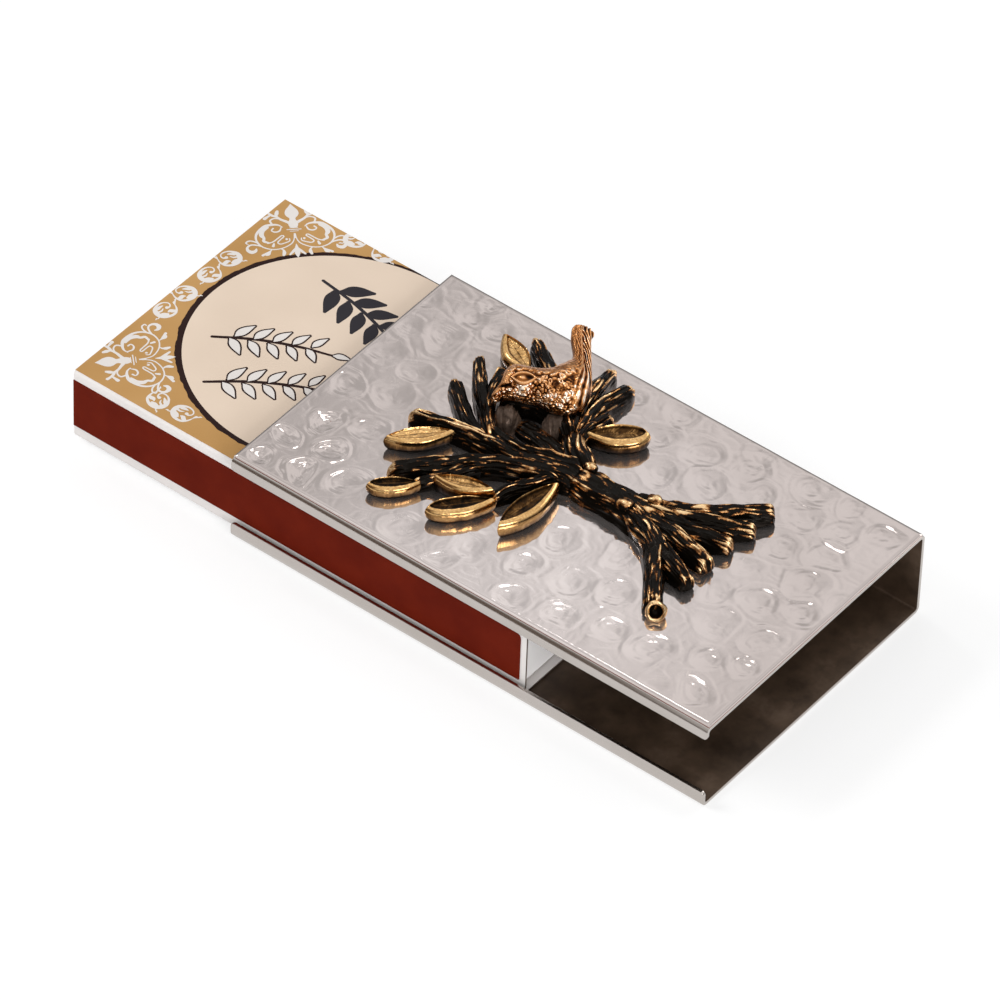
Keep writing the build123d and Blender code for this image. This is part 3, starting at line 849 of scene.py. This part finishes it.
# x, y as shares of the reach, half width and height as shares of the wood's
trunkLimbs = {
    "trunk": [(-0.05, 0.045, 0.96, 0.96), (0.11, 0.04, 0.93, 0.98), (0.26, 0.04, 0.93, 1.0),
        (0.40, 0.04, 1.15, 1.0), (0.54, 0.06, 0.9, 0.92)],
    "rootFar": [(0.30, 0.09, 0.66, 0.95), (0.54, 0.18, 0.6, 0.92), (0.73, 0.32, 0.52, 0.86),
        (0.905, 0.495, 0.46, 0.76)],
    "rootSecond": [(0.32, 0.07, 0.6, 0.95), (0.54, 0.13, 0.56, 0.94), (0.73, 0.22, 0.5, 0.86),
        (0.91, 0.325, 0.42, 0.72)],
    "rootThird": [(0.32, 0.05, 0.6, 0.95), (0.56, 0.075, 0.56, 0.94), (0.76, 0.12, 0.48, 0.86),
        (0.885, 0.16, 0.4, 0.7)],
    "rootFourth": [(0.32, 0.03, 0.6, 0.95), (0.54, 0.01, 0.58, 0.96), (0.73, -0.015, 0.54, 0.92),
        (0.885, -0.04, 0.46, 0.8)],
    "rootFifth": [(0.32, 0.02, 0.6, 0.95), (0.52, -0.06, 0.58, 0.94), (0.70, -0.145, 0.52, 0.88),
        (0.885, -0.215, 0.42, 0.74)],
    "rootNear": [(0.30, 0.03, 0.7, 0.95), (0.47, -0.035, 0.66, 0.95), (0.57, -0.10, 0.62, 0.92),
        (0.67, -0.22, 0.54, 0.86), (0.77, -0.365, 0.5, 0.84), (0.84, -0.455, 0.5, 0.88)],
}
crownLimbs = {
    "hub": [(0.02, 0.045, 1.0, 1.0), (-0.16, 0.0, 0.72, 0.98), (-0.33, -0.05, 0.6, 0.98),
        (-0.49, -0.05, 0.56, 0.96), (-0.60, -0.03, 0.5, 0.9)],
    "fork": [(0.02, 0.075, 0.72, 0.98), (-0.06, 0.125, 0.7, 1.0), (-0.18, 0.20, 0.64, 1.0),
        (-0.27, 0.29, 0.6, 1.0)],
    "lowBough": [(-0.08, -0.01, 0.62, 0.98), (-0.32, -0.095, 0.58, 0.98), (-0.50, -0.21, 0.5, 0.9),
        (-0.65, -0.345, 0.46, 0.82), (-0.84, -0.53, 0.42, 0.7)],
    "lowTwig": [(-0.46, -0.20, 0.4, 0.8), (-0.59, -0.39, 0.36, 0.72), (-0.68, -0.53, 0.32, 0.62)],
    "nearTwig": [(-0.10, -0.02, 0.46, 0.9), (-0.19, -0.14, 0.4, 0.82), (-0.255, -0.26, 0.36, 0.74),
        (-0.30, -0.36, 0.3, 0.66)],
    "leftBoughA": [(-0.40, -0.045, 0.46, 0.92), (-0.67, -0.07, 0.44, 0.84), (-0.82, -0.085, 0.44, 0.78),
        (-1.015, -0.127, 0.36, 0.72)],
    "leftBoughB": [(-0.54, -0.04, 0.42, 0.9), (-0.69, 0.0, 0.4, 0.86), (-0.84, 0.10, 0.38, 0.76),
        (-1.0, 0.232, 0.36, 0.7)],
    "leftBoughC": [(-0.55, -0.03, 0.42, 0.9), (-0.75, 0.165, 0.38, 0.84), (-0.885, 0.31, 0.4, 0.78),
        (-1.008, 0.456, 0.24, 0.66)],
    "leftBoughD": [(-0.56, -0.02, 0.4, 0.9), (-0.73, 0.185, 0.34, 0.84), (-0.80, 0.335, 0.32, 0.76),
        (-0.85, 0.465, 0.3, 0.66)],
    "topBough": [(-0.23, 0.245, 0.52, 1.0), (-0.46, 0.43, 0.46, 0.94), (-0.665, 0.60, 0.42, 0.84),
        (-0.86, 0.741, 0.33, 0.74)],
    "rightBoughA": [(-0.24, 0.25, 0.46, 0.98), (-0.33, 0.475, 0.42, 0.9), (-0.375, 0.665, 0.4, 0.82),
        (-0.39, 0.82, 0.34, 0.7)],
    "rightBoughB": [(-0.22, 0.25, 0.46, 0.98), (-0.265, 0.47, 0.42, 0.9), (-0.265, 0.62, 0.42, 0.82),
        (-0.24, 0.785, 0.36, 0.7)],
    "rightTwig": [(-0.19, 0.23, 0.4, 0.9), (-0.205, 0.39, 0.36, 0.8), (-0.185, 0.545, 0.28, 0.66)],
    "backBough": [(0.0, 0.11, 0.6, 0.98), (-0.19, 0.06, 0.56, 0.98), (-0.36, 0.005, 0.5, 0.96),
        (-0.50, 0.0, 0.48, 0.94), (-0.62, 0.04, 0.4, 0.9)],
    "underBough": [(-0.12, 0.135, 0.6, 0.62), (-0.28, 0.155, 0.62, 0.56), (-0.42, 0.185, 0.6, 0.5),
        (-0.56, 0.2, 0.55, 0.5)],
    # under the bird: a bough that carries it, and two stubs in front of that which fill the dark there,
    # painted flat brown as painted shade and a painted reflection
    "perch": [(-0.70, 0.235, 0.42, 0.98), (-0.622, 0.285, 0.44, 0.98), (-0.52, 0.335, 0.46, 0.98),
        (-0.432, 0.34, 0.46, 0.98), (-0.34, 0.38, 0.44, 0.98)],
    "perchLeft": [(-0.55, 0.105, 0.66, 0.98), (-0.60, 0.18, 0.66, 0.98), (-0.655, 0.255, 0.66, 0.98)],
    "perchRight": [(-0.325, 0.215, 0.7, 0.98), (-0.38, 0.30, 0.7, 0.98), (-0.432, 0.365, 0.74, 0.98)],
}
shadeStubLimbs = ("perchLeft", "perchRight")


def bark(along, around, seed):
    # long crests, fine marks and wide flutes, each from about -1 to 1
    wander = waver(along / 5.0, seed * 3.1, 7.7) * 0.8
    crest = waver((around + wander) / wood["crestWide"], along / wood["crestLong"], seed * 5.3)
    fine = waver(around / wood["fineWide"], along / wood["fineLong"], seed * 2.7 + 40)
    flute = waver(around / wood["fluteWide"], along / wood["fluteLong"], seed * 1.9 + 90)
    return crest, fine, flute


def addLimb(build, rows, seed, nose, bluntness, paintedShade=False):
    points, faces, rubsAndPaintedLight = build
    blunt = bluntness > 2.5
    reach, around = wood["reach"], wood["around"]
    rows = [(x * reach, y * reach, w * wood["halfWidth"], h * wood["height"]) for x, y, w, h in rows]
    fine = smoothRun(rows, 0.1)
    marks = [0.0]
    for before, after in zip(fine, fine[1:]):
        marks.append(marks[-1] + math.hypot(after[0] - before[0], after[1] - before[1]))
    total = marks[-1]
    startNose, endNose = fine[0][2] * nose, fine[-1][2] * nose
    turns = [math.pi / 2 * (k + 0.35) / wood["noseSteps"] for k in range(wood["noseSteps"])]
    count = int((total - startNose - endNose) / wood["step"])
    stations = [startNose * (1 - math.cos(turn)) for turn in turns]
    stations += [mix(startNose, total - endNose, k / count) for k in range(count + 1)]
    stations += [total - endNose * (1 - math.cos(turn)) for turn in reversed(turns)]
    first = len(points)
    place = 0
    for along in stations:
        while place < len(marks) - 2 and marks[place + 1] < along:
            place += 1
        share = min(1.0, (along - marks[place]) / max(1e-6, marks[place + 1] - marks[place]))
        x, y, width, height = (mix(a, b, share) for a, b in zip(fine[place], fine[place + 1]))
        before, after = fine[max(place - 3, 0)], fine[min(place + 4, len(fine) - 1)]
        ahead = Vector((after[0] - before[0], after[1] - before[1], 0)).normalized()
        side = Vector((-ahead.y, ahead.x, 0))
        near = min(along / startNose, (total - along) / endNose, 1.0)
        shrink = max(0.02, 1 - (1 - near) ** bluntness) ** (1 / bluntness)
        drift = 1 + 0.1 * waver(along / 4.0, seed * 7.1, 3.0)
        width, height = width * drift, height * (1 + (drift - 1) * 0.5)
        outward = Vector((0, 0, 0)) if near >= 1 else ahead * (1 - near) * (-1 if along < total / 2 else 1)
        # what the end adds to the rub and how far a root's end lifts off the plate
        gilt = step01(along, total - 2.6, total - 0.6) * 0.3
        gilt += 0.0 if blunt else step01(along, total - 1.9, total - 0.7) * 0.6
        edge = (math.exp(-((near - 0.6) / 0.3) ** 2) - (1 - near) * 0.8) * 0.3
        edge = edge if blunt and near < 1 and along > total / 2 else 0.0
        raised = step01(along, total - wood["tipLong"], total - 0.8) if blunt else 0.0
        patch = waver(x / 7.0, y / 7.0, seed)
        for k in range(around):
            angle = math.pi * k / (around - 1)
            across = math.copysign(abs(math.cos(angle)) ** 0.8, math.cos(angle))
            up = math.sin(angle) ** 0.85
            arc = (angle - math.pi / 2) * (width + height) / 2 * (0.25 + 0.75 * shrink)
            crest, small, flute = bark(along, arc, seed)
            lift = wood["crest"] * max(crest, -0.25) * 1.6 + wood["flute"] * flute * 1.4 + small * 0.1
            lift *= min(1.0, 0.15 + 1.3 * up)
            point = Vector((x, y, 0)) + side * (across * width * shrink)
            point.z = up * height * shrink
            out = (side * across + Vector((0, 0, up)) + outward).normalized()
            point += out * lift * (0.35 + 0.65 * shrink)
            point.z = max(point.z, raised * wood["tipLift"]) + plateTop / mm
            if up < 1e-3:
                point.z = plateTop / mm - wood["sink"] * (1 - raised) + raised * wood["tipLift"]
            points.append(point * mm)
            wear = 0.1 + crest * 0.62 + flute * 0.2 + small * 0.42 + 0.18 * up + 0.22 * patch
            wear += gilt * up + edge
            # a rub above the usual most keeps the stubs painted brown, as painted shade and reflection
            rubsAndPaintedLight.append(2.0 if paintedShade else min(wear, wood["mostRub"]))
    joinRings(faces, first, around, len(stations))


# x and y as shares of the reach, radius, height as a share of the wood's
knots = [(0.31, 0.0, 1.5, 1.0), (0.41, 0.12, 1.45, 0.98), (0.0, 0.112, 1.2, 0.92)]


def addKnot(build, x, y, radius, heightShare, seed):
    points, faces, rubsAndPaintedLight = build
    first = len(points)
    rings, around = 12, 24
    centre = Vector((x * wood["reach"], y * wood["reach"],
                     plateTop / mm + wood["height"] * heightShare - radius * 0.3))
    for ring in range(1, rings):
        tilt = math.pi * ring / rings
        for k in range(around):
            turn = 2 * math.pi * k / around
            way = Vector((math.sin(tilt) * math.cos(turn), math.sin(tilt) * math.sin(turn), math.cos(tilt)))
            lump = noise.noise(way * 1.6 + Vector((seed, 0, 0)))
            size = radius * (1 + 0.22 * lump)
            points.append((centre + Vector((way.x * 1.25, way.y, way.z * 0.8)) * size) * mm)
            rubsAndPaintedLight.append(0.3 + 0.36 * way.z + 0.35 * lump)
    joinRings(faces, first, around, rings - 1, turned=True)


# the near root ends in a hollow: its middle, the way it faces, and radius, depth and rub from the outside in
hollow = {"x": 32.3, "y": -17.6, "up": 1.9, "faces": (0.52, -0.70, 0.49), "around": 40}
hollowRings = [
    (1.5, -2.6, 0.1), (1.95, -1.6, 0.3), (2.15, -0.6, 0.75), (2.05, 0.0, 1.1), (1.75, 0.28, 1.2),
    (1.45, 0.15, 1.0), (1.25, -0.3, 0.3), (1.05, -0.9, 0.0), (0.6, -1.3, 0.0), (0.05, -1.4, 0.0),
]


def addHollow(build):
    points, faces, rubsAndPaintedLight = build
    first, around = len(points), hollow["around"]
    ahead = Vector(hollow["faces"]).normalized()
    side = ahead.cross(Vector((0, 0, 1))).normalized()
    above = side.cross(ahead)
    centre = Vector((hollow["x"], hollow["y"], plateTop / mm + hollow["up"]))
    for radius, out, rub_and_painted_light in hollowRings:
        for k in range(around):
            turn = 2 * math.pi * k / around
            lump = waver(math.cos(turn) * 1.4, math.sin(turn) * 1.4, out)
            way = side * math.cos(turn) + above * math.sin(turn)
            point = centre + way * radius * (1 + 0.14 * lump) + ahead * (out + 0.2 * lump)
            point.z = max(point.z, plateTop / mm)
            points.append(point * mm)
            rubsAndPaintedLight.append(min(rub_and_painted_light + 0.5 * lump, wood["mostRub"]))
    joinRings(faces, first, around, len(hollowRings))


def makeWood(name, limbs, node, seed):
    build = ([], [], [])
    for number, (limb, rows) in enumerate(limbs.items()):
        addLimb(build, rows, seed + number * 1.37, *limbEnds[node], limb in shadeStubLimbs)
    if node == "tree_trunk":
        for number, knot in enumerate(knots):
            addKnot(build, *knot, number * 3.3)
        addHollow(build)
    castPiece(name, build, "bark", "blackened_brass", node)


makeWood("trunk_casting", trunkLimbs, "tree_trunk", 3.0)
makeWood("crown_casting", crownLimbs, "tree_crown", 11.0)
print("trunk and crown made")


# Leaves: boat-shaped, with a round rim and a sunk ribbed middle

leaf = {"height": 3.4, "around": 180, "stemPower": 1.7, "farShift": 0.2, "ribs": 0.04, "ribEach": 0.5,
        "rimInset": 0.36, "taper": 0.42}
# share of the inset towards the midline, height as a share of the leaf's, rubbed bright or not
leafProfile = [
    (0.34, -0.14, 0.0), (0.27, 0.02, 0.02), (0.17, 0.13, 0.14), (0.10, 0.24, 0.3), (0.05, 0.37, 0.42),
    (0.02, 0.50, 0.5), (0.0, 0.62, 0.7), (0.01, 0.72, 0.9), (0.045, 0.82, 1.0), (0.10, 0.90, 1.0),
    (0.17, 0.96, 1.0), (0.25, 0.995, 1.0), (0.32, 1.0, 1.0), (0.38, 0.97, 0.85), (0.42, 0.91, 0.4),
    (0.47, 0.87, 0.2), (0.56, 0.85, 0.42), (0.66, 0.845, 0.5), (0.78, 0.84, 0.5), (0.9, 0.835, 0.46),
    (1.0, 0.83, 0.42),
]
# tip x, y, stem x, y, half width as shares of the tree's reach, height share, brightness of the middle
# and the wall, bluntness of the tip
leafTable = {
    "leaf_left": (-0.985, -0.38, -0.725, -0.10, 0.062, 0.95, 0.5, 0.0, 2.0),
    "leaf_far_left": (-0.845, -0.70, -0.63, -0.51, 0.054, 0.8, -0.45, 0.25, 2.8),
    "leaf_right": (0.075, 0.525, -0.19, 0.305, 0.08, 1.05, -0.15, -0.3, 3.0),
    "leaf_near_left": (-0.488, -0.66, -0.245, -0.37, 0.066, 0.95, -0.4, 0.5, 3.0),
    "leaf_top": (-1.0, 0.645, -0.70, 0.49, 0.074, 1.0, 0.3, -0.1, 1.7),
    "leaf_middle": (-0.60, -0.455, -0.29, -0.33, 0.058, 1.1, 0.15, -0.45, 1.8),
    "leaf_near_right": (-0.11, -0.535, -0.06, -0.07, 0.074, 1.15, -0.25, 0.4, 2.0),
}


def makeLeaf(node, row, seed):
    tip, stem = (Vector((row[i], row[i + 1], 0)) * wood["reach"] for i in (0, 2))
    halfWidth, height = row[4] * wood["reach"], row[5] * leaf["height"]
    middleShine, wallShine, tipPower = row[6:]
    ahead = (tip - stem).normalized()
    side = Vector((-ahead.y, ahead.x, 0))
    farWay = side if side.y > 0 else -side
    middle, halfLength = (tip + stem) / 2, (tip - stem).length / 2
    around = leaf["around"]
    points, faces, rubsAndPaintedLight = [], [], []
    for inset, up, bright in leafProfile:
        ribbed = 1.0 if 0.37 < inset < 0.95 else 0.0
        onWall = 1.0 if up < 0.7 and inset < leaf["rimInset"] else 0.0
        for k in range(around):
            turn = 2 * math.pi * k / around
            x = math.cos(turn)
            power = tipPower if x > 0 else leaf["stemPower"]
            y = math.copysign(max(0.0, 1 - abs(x) ** power) ** (0.95 - 0.17 * (power - 1.7)), math.sin(turn))
            along = x * halfLength * (1 - leaf["taper"] * inset)
            across = y * halfWidth * (1 - inset) * (1 + 0.05 * waver(x * 2.2, y, seed))
            place = middle + ahead * along + side * across
            if up > 0.8 or inset > leaf["rimInset"]:
                place += farWay * halfWidth * leaf["farShift"] * step01(inset, 0.03, 0.42)
            slip = waver(along / 2.2, across / 2.2, seed * 1.3)
            rib = math.sin(2 * math.pi * (along - abs(across) * 0.6 + slip * 0.9) / leaf["ribEach"] + seed)
            rib *= 0.5 + 0.8 * waver(along / 1.1, across / 1.1, seed * 4.1)
            lump = waver(along / 0.7, across / 0.7, seed * 2.1)
            worn = waver(along / 2.4, y * 1.5, seed * 3.7)
            if onWall and up > 0.1 and abs(y) > 0.02:
                place += side * math.copysign(0.04 * rib + 0.08 * lump, y)
            place.z = plateTop / mm + (up * height + ribbed * (leaf["ribs"] * rib + 0.1 * lump))
            points.append(place * mm)
            shine = bright + 0.22 * lump + 0.3 * worn + 0.2 * rib * max(ribbed, onWall * 0.5)
            shine += middleShine * ribbed + wallShine * onWall * min(1.0, max(0.0, up + 0.3))
            rubsAndPaintedLight.append(max(0.0, min(1.0, shine)))
    joinRings(faces, 0, around, len(leafProfile), closed=False)
    castPiece(node + "_casting", (points, faces, rubsAndPaintedLight), "leaf", "gilt_leaf", node, merged=True)


for number, (node, row) in enumerate(leafTable.items()):
    makeLeaf(node, row, number * 2.3 + 1)
print("leaves made")


# Bird: a half-round relief lying on the boughs, beak near, tail cocked to the far side

bird = {"seat": 4.2, "height": 4.9, "under": 0.5, "skin": 0.26, "around": 130, "step": 0.1, "fullness": 0.72,
        "underPoints": 26, "underRub": 0.3, "beakSteps": 9, "tailSteps": 6}
# back x, y, breast x, y, height share, from the beak to the tail
birdRows = [
    (-26.3, 6.2, -25.9, 5.9, 0.29), (-26.5, 7.5, -24.9, 6.1, 0.46), (-26.6, 9.5, -24.3, 7.3, 0.65),
    (-27.8, 12.4, -23.4, 8.2, 0.84), (-27.6, 14.9, -21.9, 8.9, 0.94), (-25.7, 16.1, -20.1, 9.6, 0.96),
    (-23.2, 17.1, -18.1, 10.6, 0.98), (-21.6, 18.7, -14.9, 10.6, 1.0), (-20.8, 20.9, -11.8, 12.2, 1.0),
    (-20.4, 22.8, -10.6, 15.2, 0.95), (-20.3, 24.0, -12.0, 19.6, 0.84), (-21.5, 26.0, -15.3, 24.0, 0.72),
    (-23.6, 28.2, -19.0, 28.6, 0.66), (-25.6, 30.8, -21.3, 31.6, 0.6), (-26.1, 32.5, -21.9, 33.6, 0.5),
]
birdEye = {"x": -22.7, "y": 11.9, "long": 2.4, "wide": 1.4, "turn": 32.0}
birdGape = {"x": -24.7, "y": 8.6, "long": 1.0, "wide": 0.3, "turn": 30.0}
birdCheek = {"x": -21.7, "y": 10.1, "long": 0.95, "wide": 0.7, "turn": 20.0}


def inOval(place, oval):
    turn = math.radians(oval["turn"])
    dx, dy = place.x - oval["x"], place.y - oval["y"]
    return ((dx * math.cos(turn) + dy * math.sin(turn)) / oval["long"],
            (dy * math.cos(turn) - dx * math.sin(turn)) / oval["wide"])


def feathers(spot, down, across):
    # height from -1 to 1 of the bird's surface and how bright it is: its rub, with painted highlights on the
    # breast and the lower band
    u, v = inOval(spot, birdEye)
    almond = abs(v) + u * u
    if almond < 1.3:
        lid = math.exp(-((almond - 0.95) / 0.27) ** 2)
        ball = math.exp(-((u + 0.05) ** 2 * 7 + (v + 0.05) ** 2 * 5) / 0.8)
        slot = math.exp(-((u - 0.36) ** 2 * 9 + (v - 0.1) ** 2 * 16))
        height = lid * 0.95 + ball * 0.9 - 0.5 - slot * 0.6
        return height, 0.4 + height * 0.5 + ball * 0.3 + lid * 0.2
    swirl = noise.noise_vector(spot / 1.9) * 0.55
    # scales: their middles stand high on the breast, their rims on the wing
    near, second = noise.voronoi((spot + swirl) / 0.78)[0][:2]
    rim = math.exp(-((second - near) / 0.16) ** 2)
    grit = noise.noise(spot / 0.35)
    lumps = 0.75 - near * 1.3 - rim * 0.8 + grit * 0.5
    far = noise.voronoi((spot + swirl * 1.5) / 1.25)[0][0]
    curl = math.cos((far * 2.6 + 0.35 * noise.noise(spot / 0.9)) * math.pi)
    curls = 0.25 - curl * 0.75 + grit * 0.3
    # barbs slant away from the tail's shaft, fine on the back's side of it and bold on the other
    offShaft = across - 0.5
    bold = step01(offShaft, -0.06, 0.06)
    barbAt = mix(down * 34 - offShaft * 14, down * 20 + offShaft * 5, bold)
    barbAt += 0.5 * waver(across * 3, down * 16, 3.0)
    shaft = math.exp(-(offShaft / 0.06) ** 2)
    streak = math.sin(barbAt * math.pi * 2) * mix(0.4, 0.85, bold)
    streak = mix(streak + 0.5 * waver(across * 12, down * 20, 8.0), 0.6, shaft)
    tail = step01(down + 0.1 * across, 0.66, 0.74)
    breast = step01(across + 0.1 * noise.noise(spot / 1.4), 0.6, 0.74)
    nape = 1 - step01(across, 0.26, 0.4)
    wing = mix(curls, 0.35 + grit * 0.2 + 0.3 * noise.noise(spot / 0.8), nape)
    height = mix(mix(wing, lumps, breast), streak, tail)
    # the breast is set brighter than the wing, partly for its rub and partly as painted light on its lit
    # lower side
    bright = mix(mix(0.4, 0.62, breast), 0.45, tail)
    # smooth forehead and cheek, dark gape
    brow = (1 - step01(down, 0.2, 0.27)) * (1 - step01(across, 0.6, 0.75))
    height, bright = mix(height, 0.35 + grit * 0.12, brow), mix(bright, 0.46, brow)
    u, v = inOval(spot, birdCheek)
    cheek = math.exp(-(u * u + v * v) * 1.2)
    height, bright = mix(height, 0.7, cheek), mix(bright, 0.75, cheek)
    u, v = inOval(spot, birdGape)
    gape = math.exp(-(u * u + v * v) * 1.1)
    height = mix(height, -0.9, gape)
    # its lower band, from the beak to the rump, is painted whitest: a painted highlight
    highlightBand = step01(across + 0.12 * noise.noise(spot / 1.1), 0.66, 0.8) * (1 - step01(down, 0.64, 0.72))
    bright += 0.34 * highlightBand * (0.6 + 1.8 * noise.noise(spot / 1.3))
    height = max(-1.0, min(1.0, height))
    return height, bright + height * 0.5 - gape * 0.4


def makeBird():
    run = smoothRun(birdRows, bird["step"])
    around, under = bird["around"], bird["underPoints"]
    points, faces, rubsAndPaintedLight = [], [], []
    base = plateTop / mm + bird["seat"] + bird["under"]
    total = len(run) - 1
    for index, (backX, backY, breastX, breastY, heightShare) in enumerate(run):
        back, breast = Vector((backX, backY, 0)), Vector((breastX, breastY, 0))
        centre, half = (back + breast) / 2, (breast - back) / 2
        near = min(1.0, (index + 0.5) / bird["beakSteps"], (total - index + 0.5) / bird["tailSteps"])
        shrink = math.sqrt(max(0.02, 1 - (1 - near) ** 2))
        height = heightShare * (bird["height"] - bird["skin"]) - bird["under"]
        for k in range(around):
            angle = math.pi * k / (around - 1)
            across = -math.copysign(abs(math.cos(angle)) ** 0.9, math.cos(angle))
            up = math.sin(angle) ** bird["fullness"]
            place = centre + half * across * shrink
            place.z = base + max(0.2, height) * up * shrink
            skin, bright = feathers(place, index / total, (across + 1) / 2)
            amount = bird["skin"] * min(1.0, 0.25 + up) * shrink
            place += (half.normalized() * across * 0.8 + Vector((0, 0, up))).normalized() * skin * amount
            points.append(place * mm)
            rubsAndPaintedLight.append(max(0.0, min(1.0, bright)))
        for k in range(under):
            angle = math.pi * (k + 1) / (under + 1)
            place = centre + half * math.cos(angle) * shrink * 0.99
            place.z = base - bird["under"] * math.sin(angle) ** 0.6 * min(1.0, heightShare + 0.2) * shrink
            points.append(place * mm)
            rubsAndPaintedLight.append(bird["underRub"])
    joinRings(faces, 0, around + under, len(run), turned=True)
    castPiece("bird_casting", (points, faces, rubsAndPaintedLight), "bird", "copper_gilt", "bird")


makeBird()
print("bird made")


# Light, floor and camera

studio = {"worldDiffuse": 0.5, "floorTone": 0.44, "floorGlow": 0.62, "floorDiffuse": 0.8, "cloudScale": 7.0,
          "floorSize": 6, "floorZ": -0.0002}
# what bright metal mirrors: dark near the floor, bright above, as share of the way up and strength
skyBands = [
    (0.0, 0.22), (0.26, 0.3), (0.46, 0.84), (0.69, 0.95), (0.88, 1.0),
]
# clouds in it, from noise between the first two numbers to strengths between the last two
skyClouds = (0.36, 0.62, 0.8, 1.35)
# a dark part of the room to the left of the near side: where it starts and ends along y and x, and its colour
nearDark = {"y": (-0.5, -0.12), "x": (-0.2, 0.1), "tone": (0.17, 0.13, 0.105, 1)}
# name, place, size and power of each lamp, all aimed at the middle
lamps = [
    ("keyPanel", (-1.0, -0.62, 0.85), (0.6, 0.6), 7.4), ("sidePanel", (0.95, -0.4, 0.5), (0.5, 0.4), 3.8),
    ("backPanel", (0.25, 0.9, 0.7), (0.6, 0.4), 1.8), ("sparkLamp", (-0.8, 0.2, 0.95), (0.12, 0.12), 0.9),
    ("nearPanel", (0.62, -0.83, 0.47), (0.14, 0.14), 0.6),
    ("strokeLamp", (-0.43, 0.57, 0.965), (0.1, 0.1), 0.16), ("endPanel", (1.0, -0.5, 0.2), (0.3, 0.2), 2.6),
]
# two lamps aren't mirrored, or they would show as white bands in the bends
unmirrored = ["keyPanel", "endPanel"]
view = {"azimuth": 36.626, "elevation": 43.749, "roll": 2.2, "distance": 1.74203, "lensPixels": 9017.62,
        "target": (-0.017345, -0.001414, 0.010), "framePixels": 1000, "filmMm": 36.0}


def makeCamera():
    azimuth, elevation, roll = (math.radians(view[key]) for key in ("azimuth", "elevation", "roll"))
    back = Vector((math.sin(azimuth) * math.cos(elevation), -math.cos(azimuth) * math.cos(elevation),
                   math.sin(elevation)))
    right = Vector((0, 0, 1)).cross(back).normalized()
    up = back.cross(right)
    turnedRight = right * math.cos(roll) + up * math.sin(roll)
    turnedUp = up * math.cos(roll) - right * math.sin(roll)
    data = bpy.data.cameras.new("camera")
    data.sensor_width = view["filmMm"]
    data.lens = view["lensPixels"] / view["framePixels"] * view["filmMm"]
    data.clip_end = 20
    camera = bpy.data.objects.new("camera", data)
    bpy.context.collection.objects.link(camera)
    place = Matrix((turnedRight, turnedUp, back)).transposed().to_4x4()
    place.translation = Vector(view["target"]) + back * view["distance"]
    camera.matrix_world = place
    bpy.context.scene.camera = camera


def makeLamps():
    for name, place, size, power in lamps:
        data = bpy.data.lights.new(name, "AREA")
        data.shape = "RECTANGLE"
        data.size, data.size_y = size
        data.energy = power
        lamp = bpy.data.objects.new(name, data)
        bpy.context.collection.objects.link(lamp)
        lamp.location = place
        lamp.visible_glossy = name not in unmirrored
        lamp.rotation_euler = (-Vector(place)).to_track_quat("-Z", "Y").to_euler()


def makeWorld():
    world = bpy.data.worlds.new("studio")
    world.use_nodes = True
    tree = world.node_tree
    path = put(tree, "ShaderNodeLightPath").outputs
    glossy = math2(tree, "MAXIMUM", path["Is Glossy Ray"], path["Is Transmission Ray"])
    aim = put(tree, "ShaderNodeTexCoord").outputs["Generated"]
    split = put(tree, "ShaderNodeSeparateXYZ", aim).outputs
    cloud = put(tree, "ShaderNodeTexNoise", Vector=aim, Scale=studio["cloudScale"], Detail=2.0, Roughness=0.5)
    # clouds go past 1, so they are a plain factor and not a colour stop
    clouds = mapRange(tree, cloud.outputs["Fac"], *skyClouds)
    sky = ramp(tree, split["Z"], *skyBands)
    sky = put(tree, "ShaderNodeVectorMath", sky, operation="SCALE", Scale=clouds)
    bright = math2(tree, "MAXIMUM", mapRange(tree, split["Y"], *nearDark["y"]),
                   mapRange(tree, split["X"], *nearDark["x"]))
    mirrored = mixColor(tree, bright, nearDark["tone"], sky.outputs[0])
    shade = mixColor(tree, glossy, studio["worldDiffuse"], mirrored)
    shade = mixColor(tree, path["Is Camera Ray"], shade, 1.0)
    feed(tree, shade, tree.nodes["Background"].inputs["Color"])
    bpy.context.scene.world = world


def paleFloor(tree):
    # it glows only where it is seen or mirrored
    path = put(tree, "ShaderNodeLightPath").outputs
    seen = math2(tree, "MAXIMUM", path["Is Camera Ray"], path["Is Glossy Ray"])
    feedShader(tree, {"Roughness": 0.9, "Specular IOR Level": 0.0, "Emission Strength": 1.0,
                      "Base Color": mixColor(tree, seen, studio["floorDiffuse"], studio["floorTone"]),
                      "Emission Color": mixColor(tree, seen, 0.0, studio["floorGlow"])})


def makeFloor():
    bpy.ops.mesh.primitive_plane_add(size=studio["floorSize"], location=(0, 0, studio["floorZ"]))
    floor = bpy.context.object
    floor.name = "floor"
    floor.data.materials.append(newMaterial("pale_floor", paleFloor))


makeCamera()
makeLamps()
makeWorld()
makeFloor()
bpy.context.scene.view_settings.view_transform = "Standard"
print("camera, lamps and floor set")
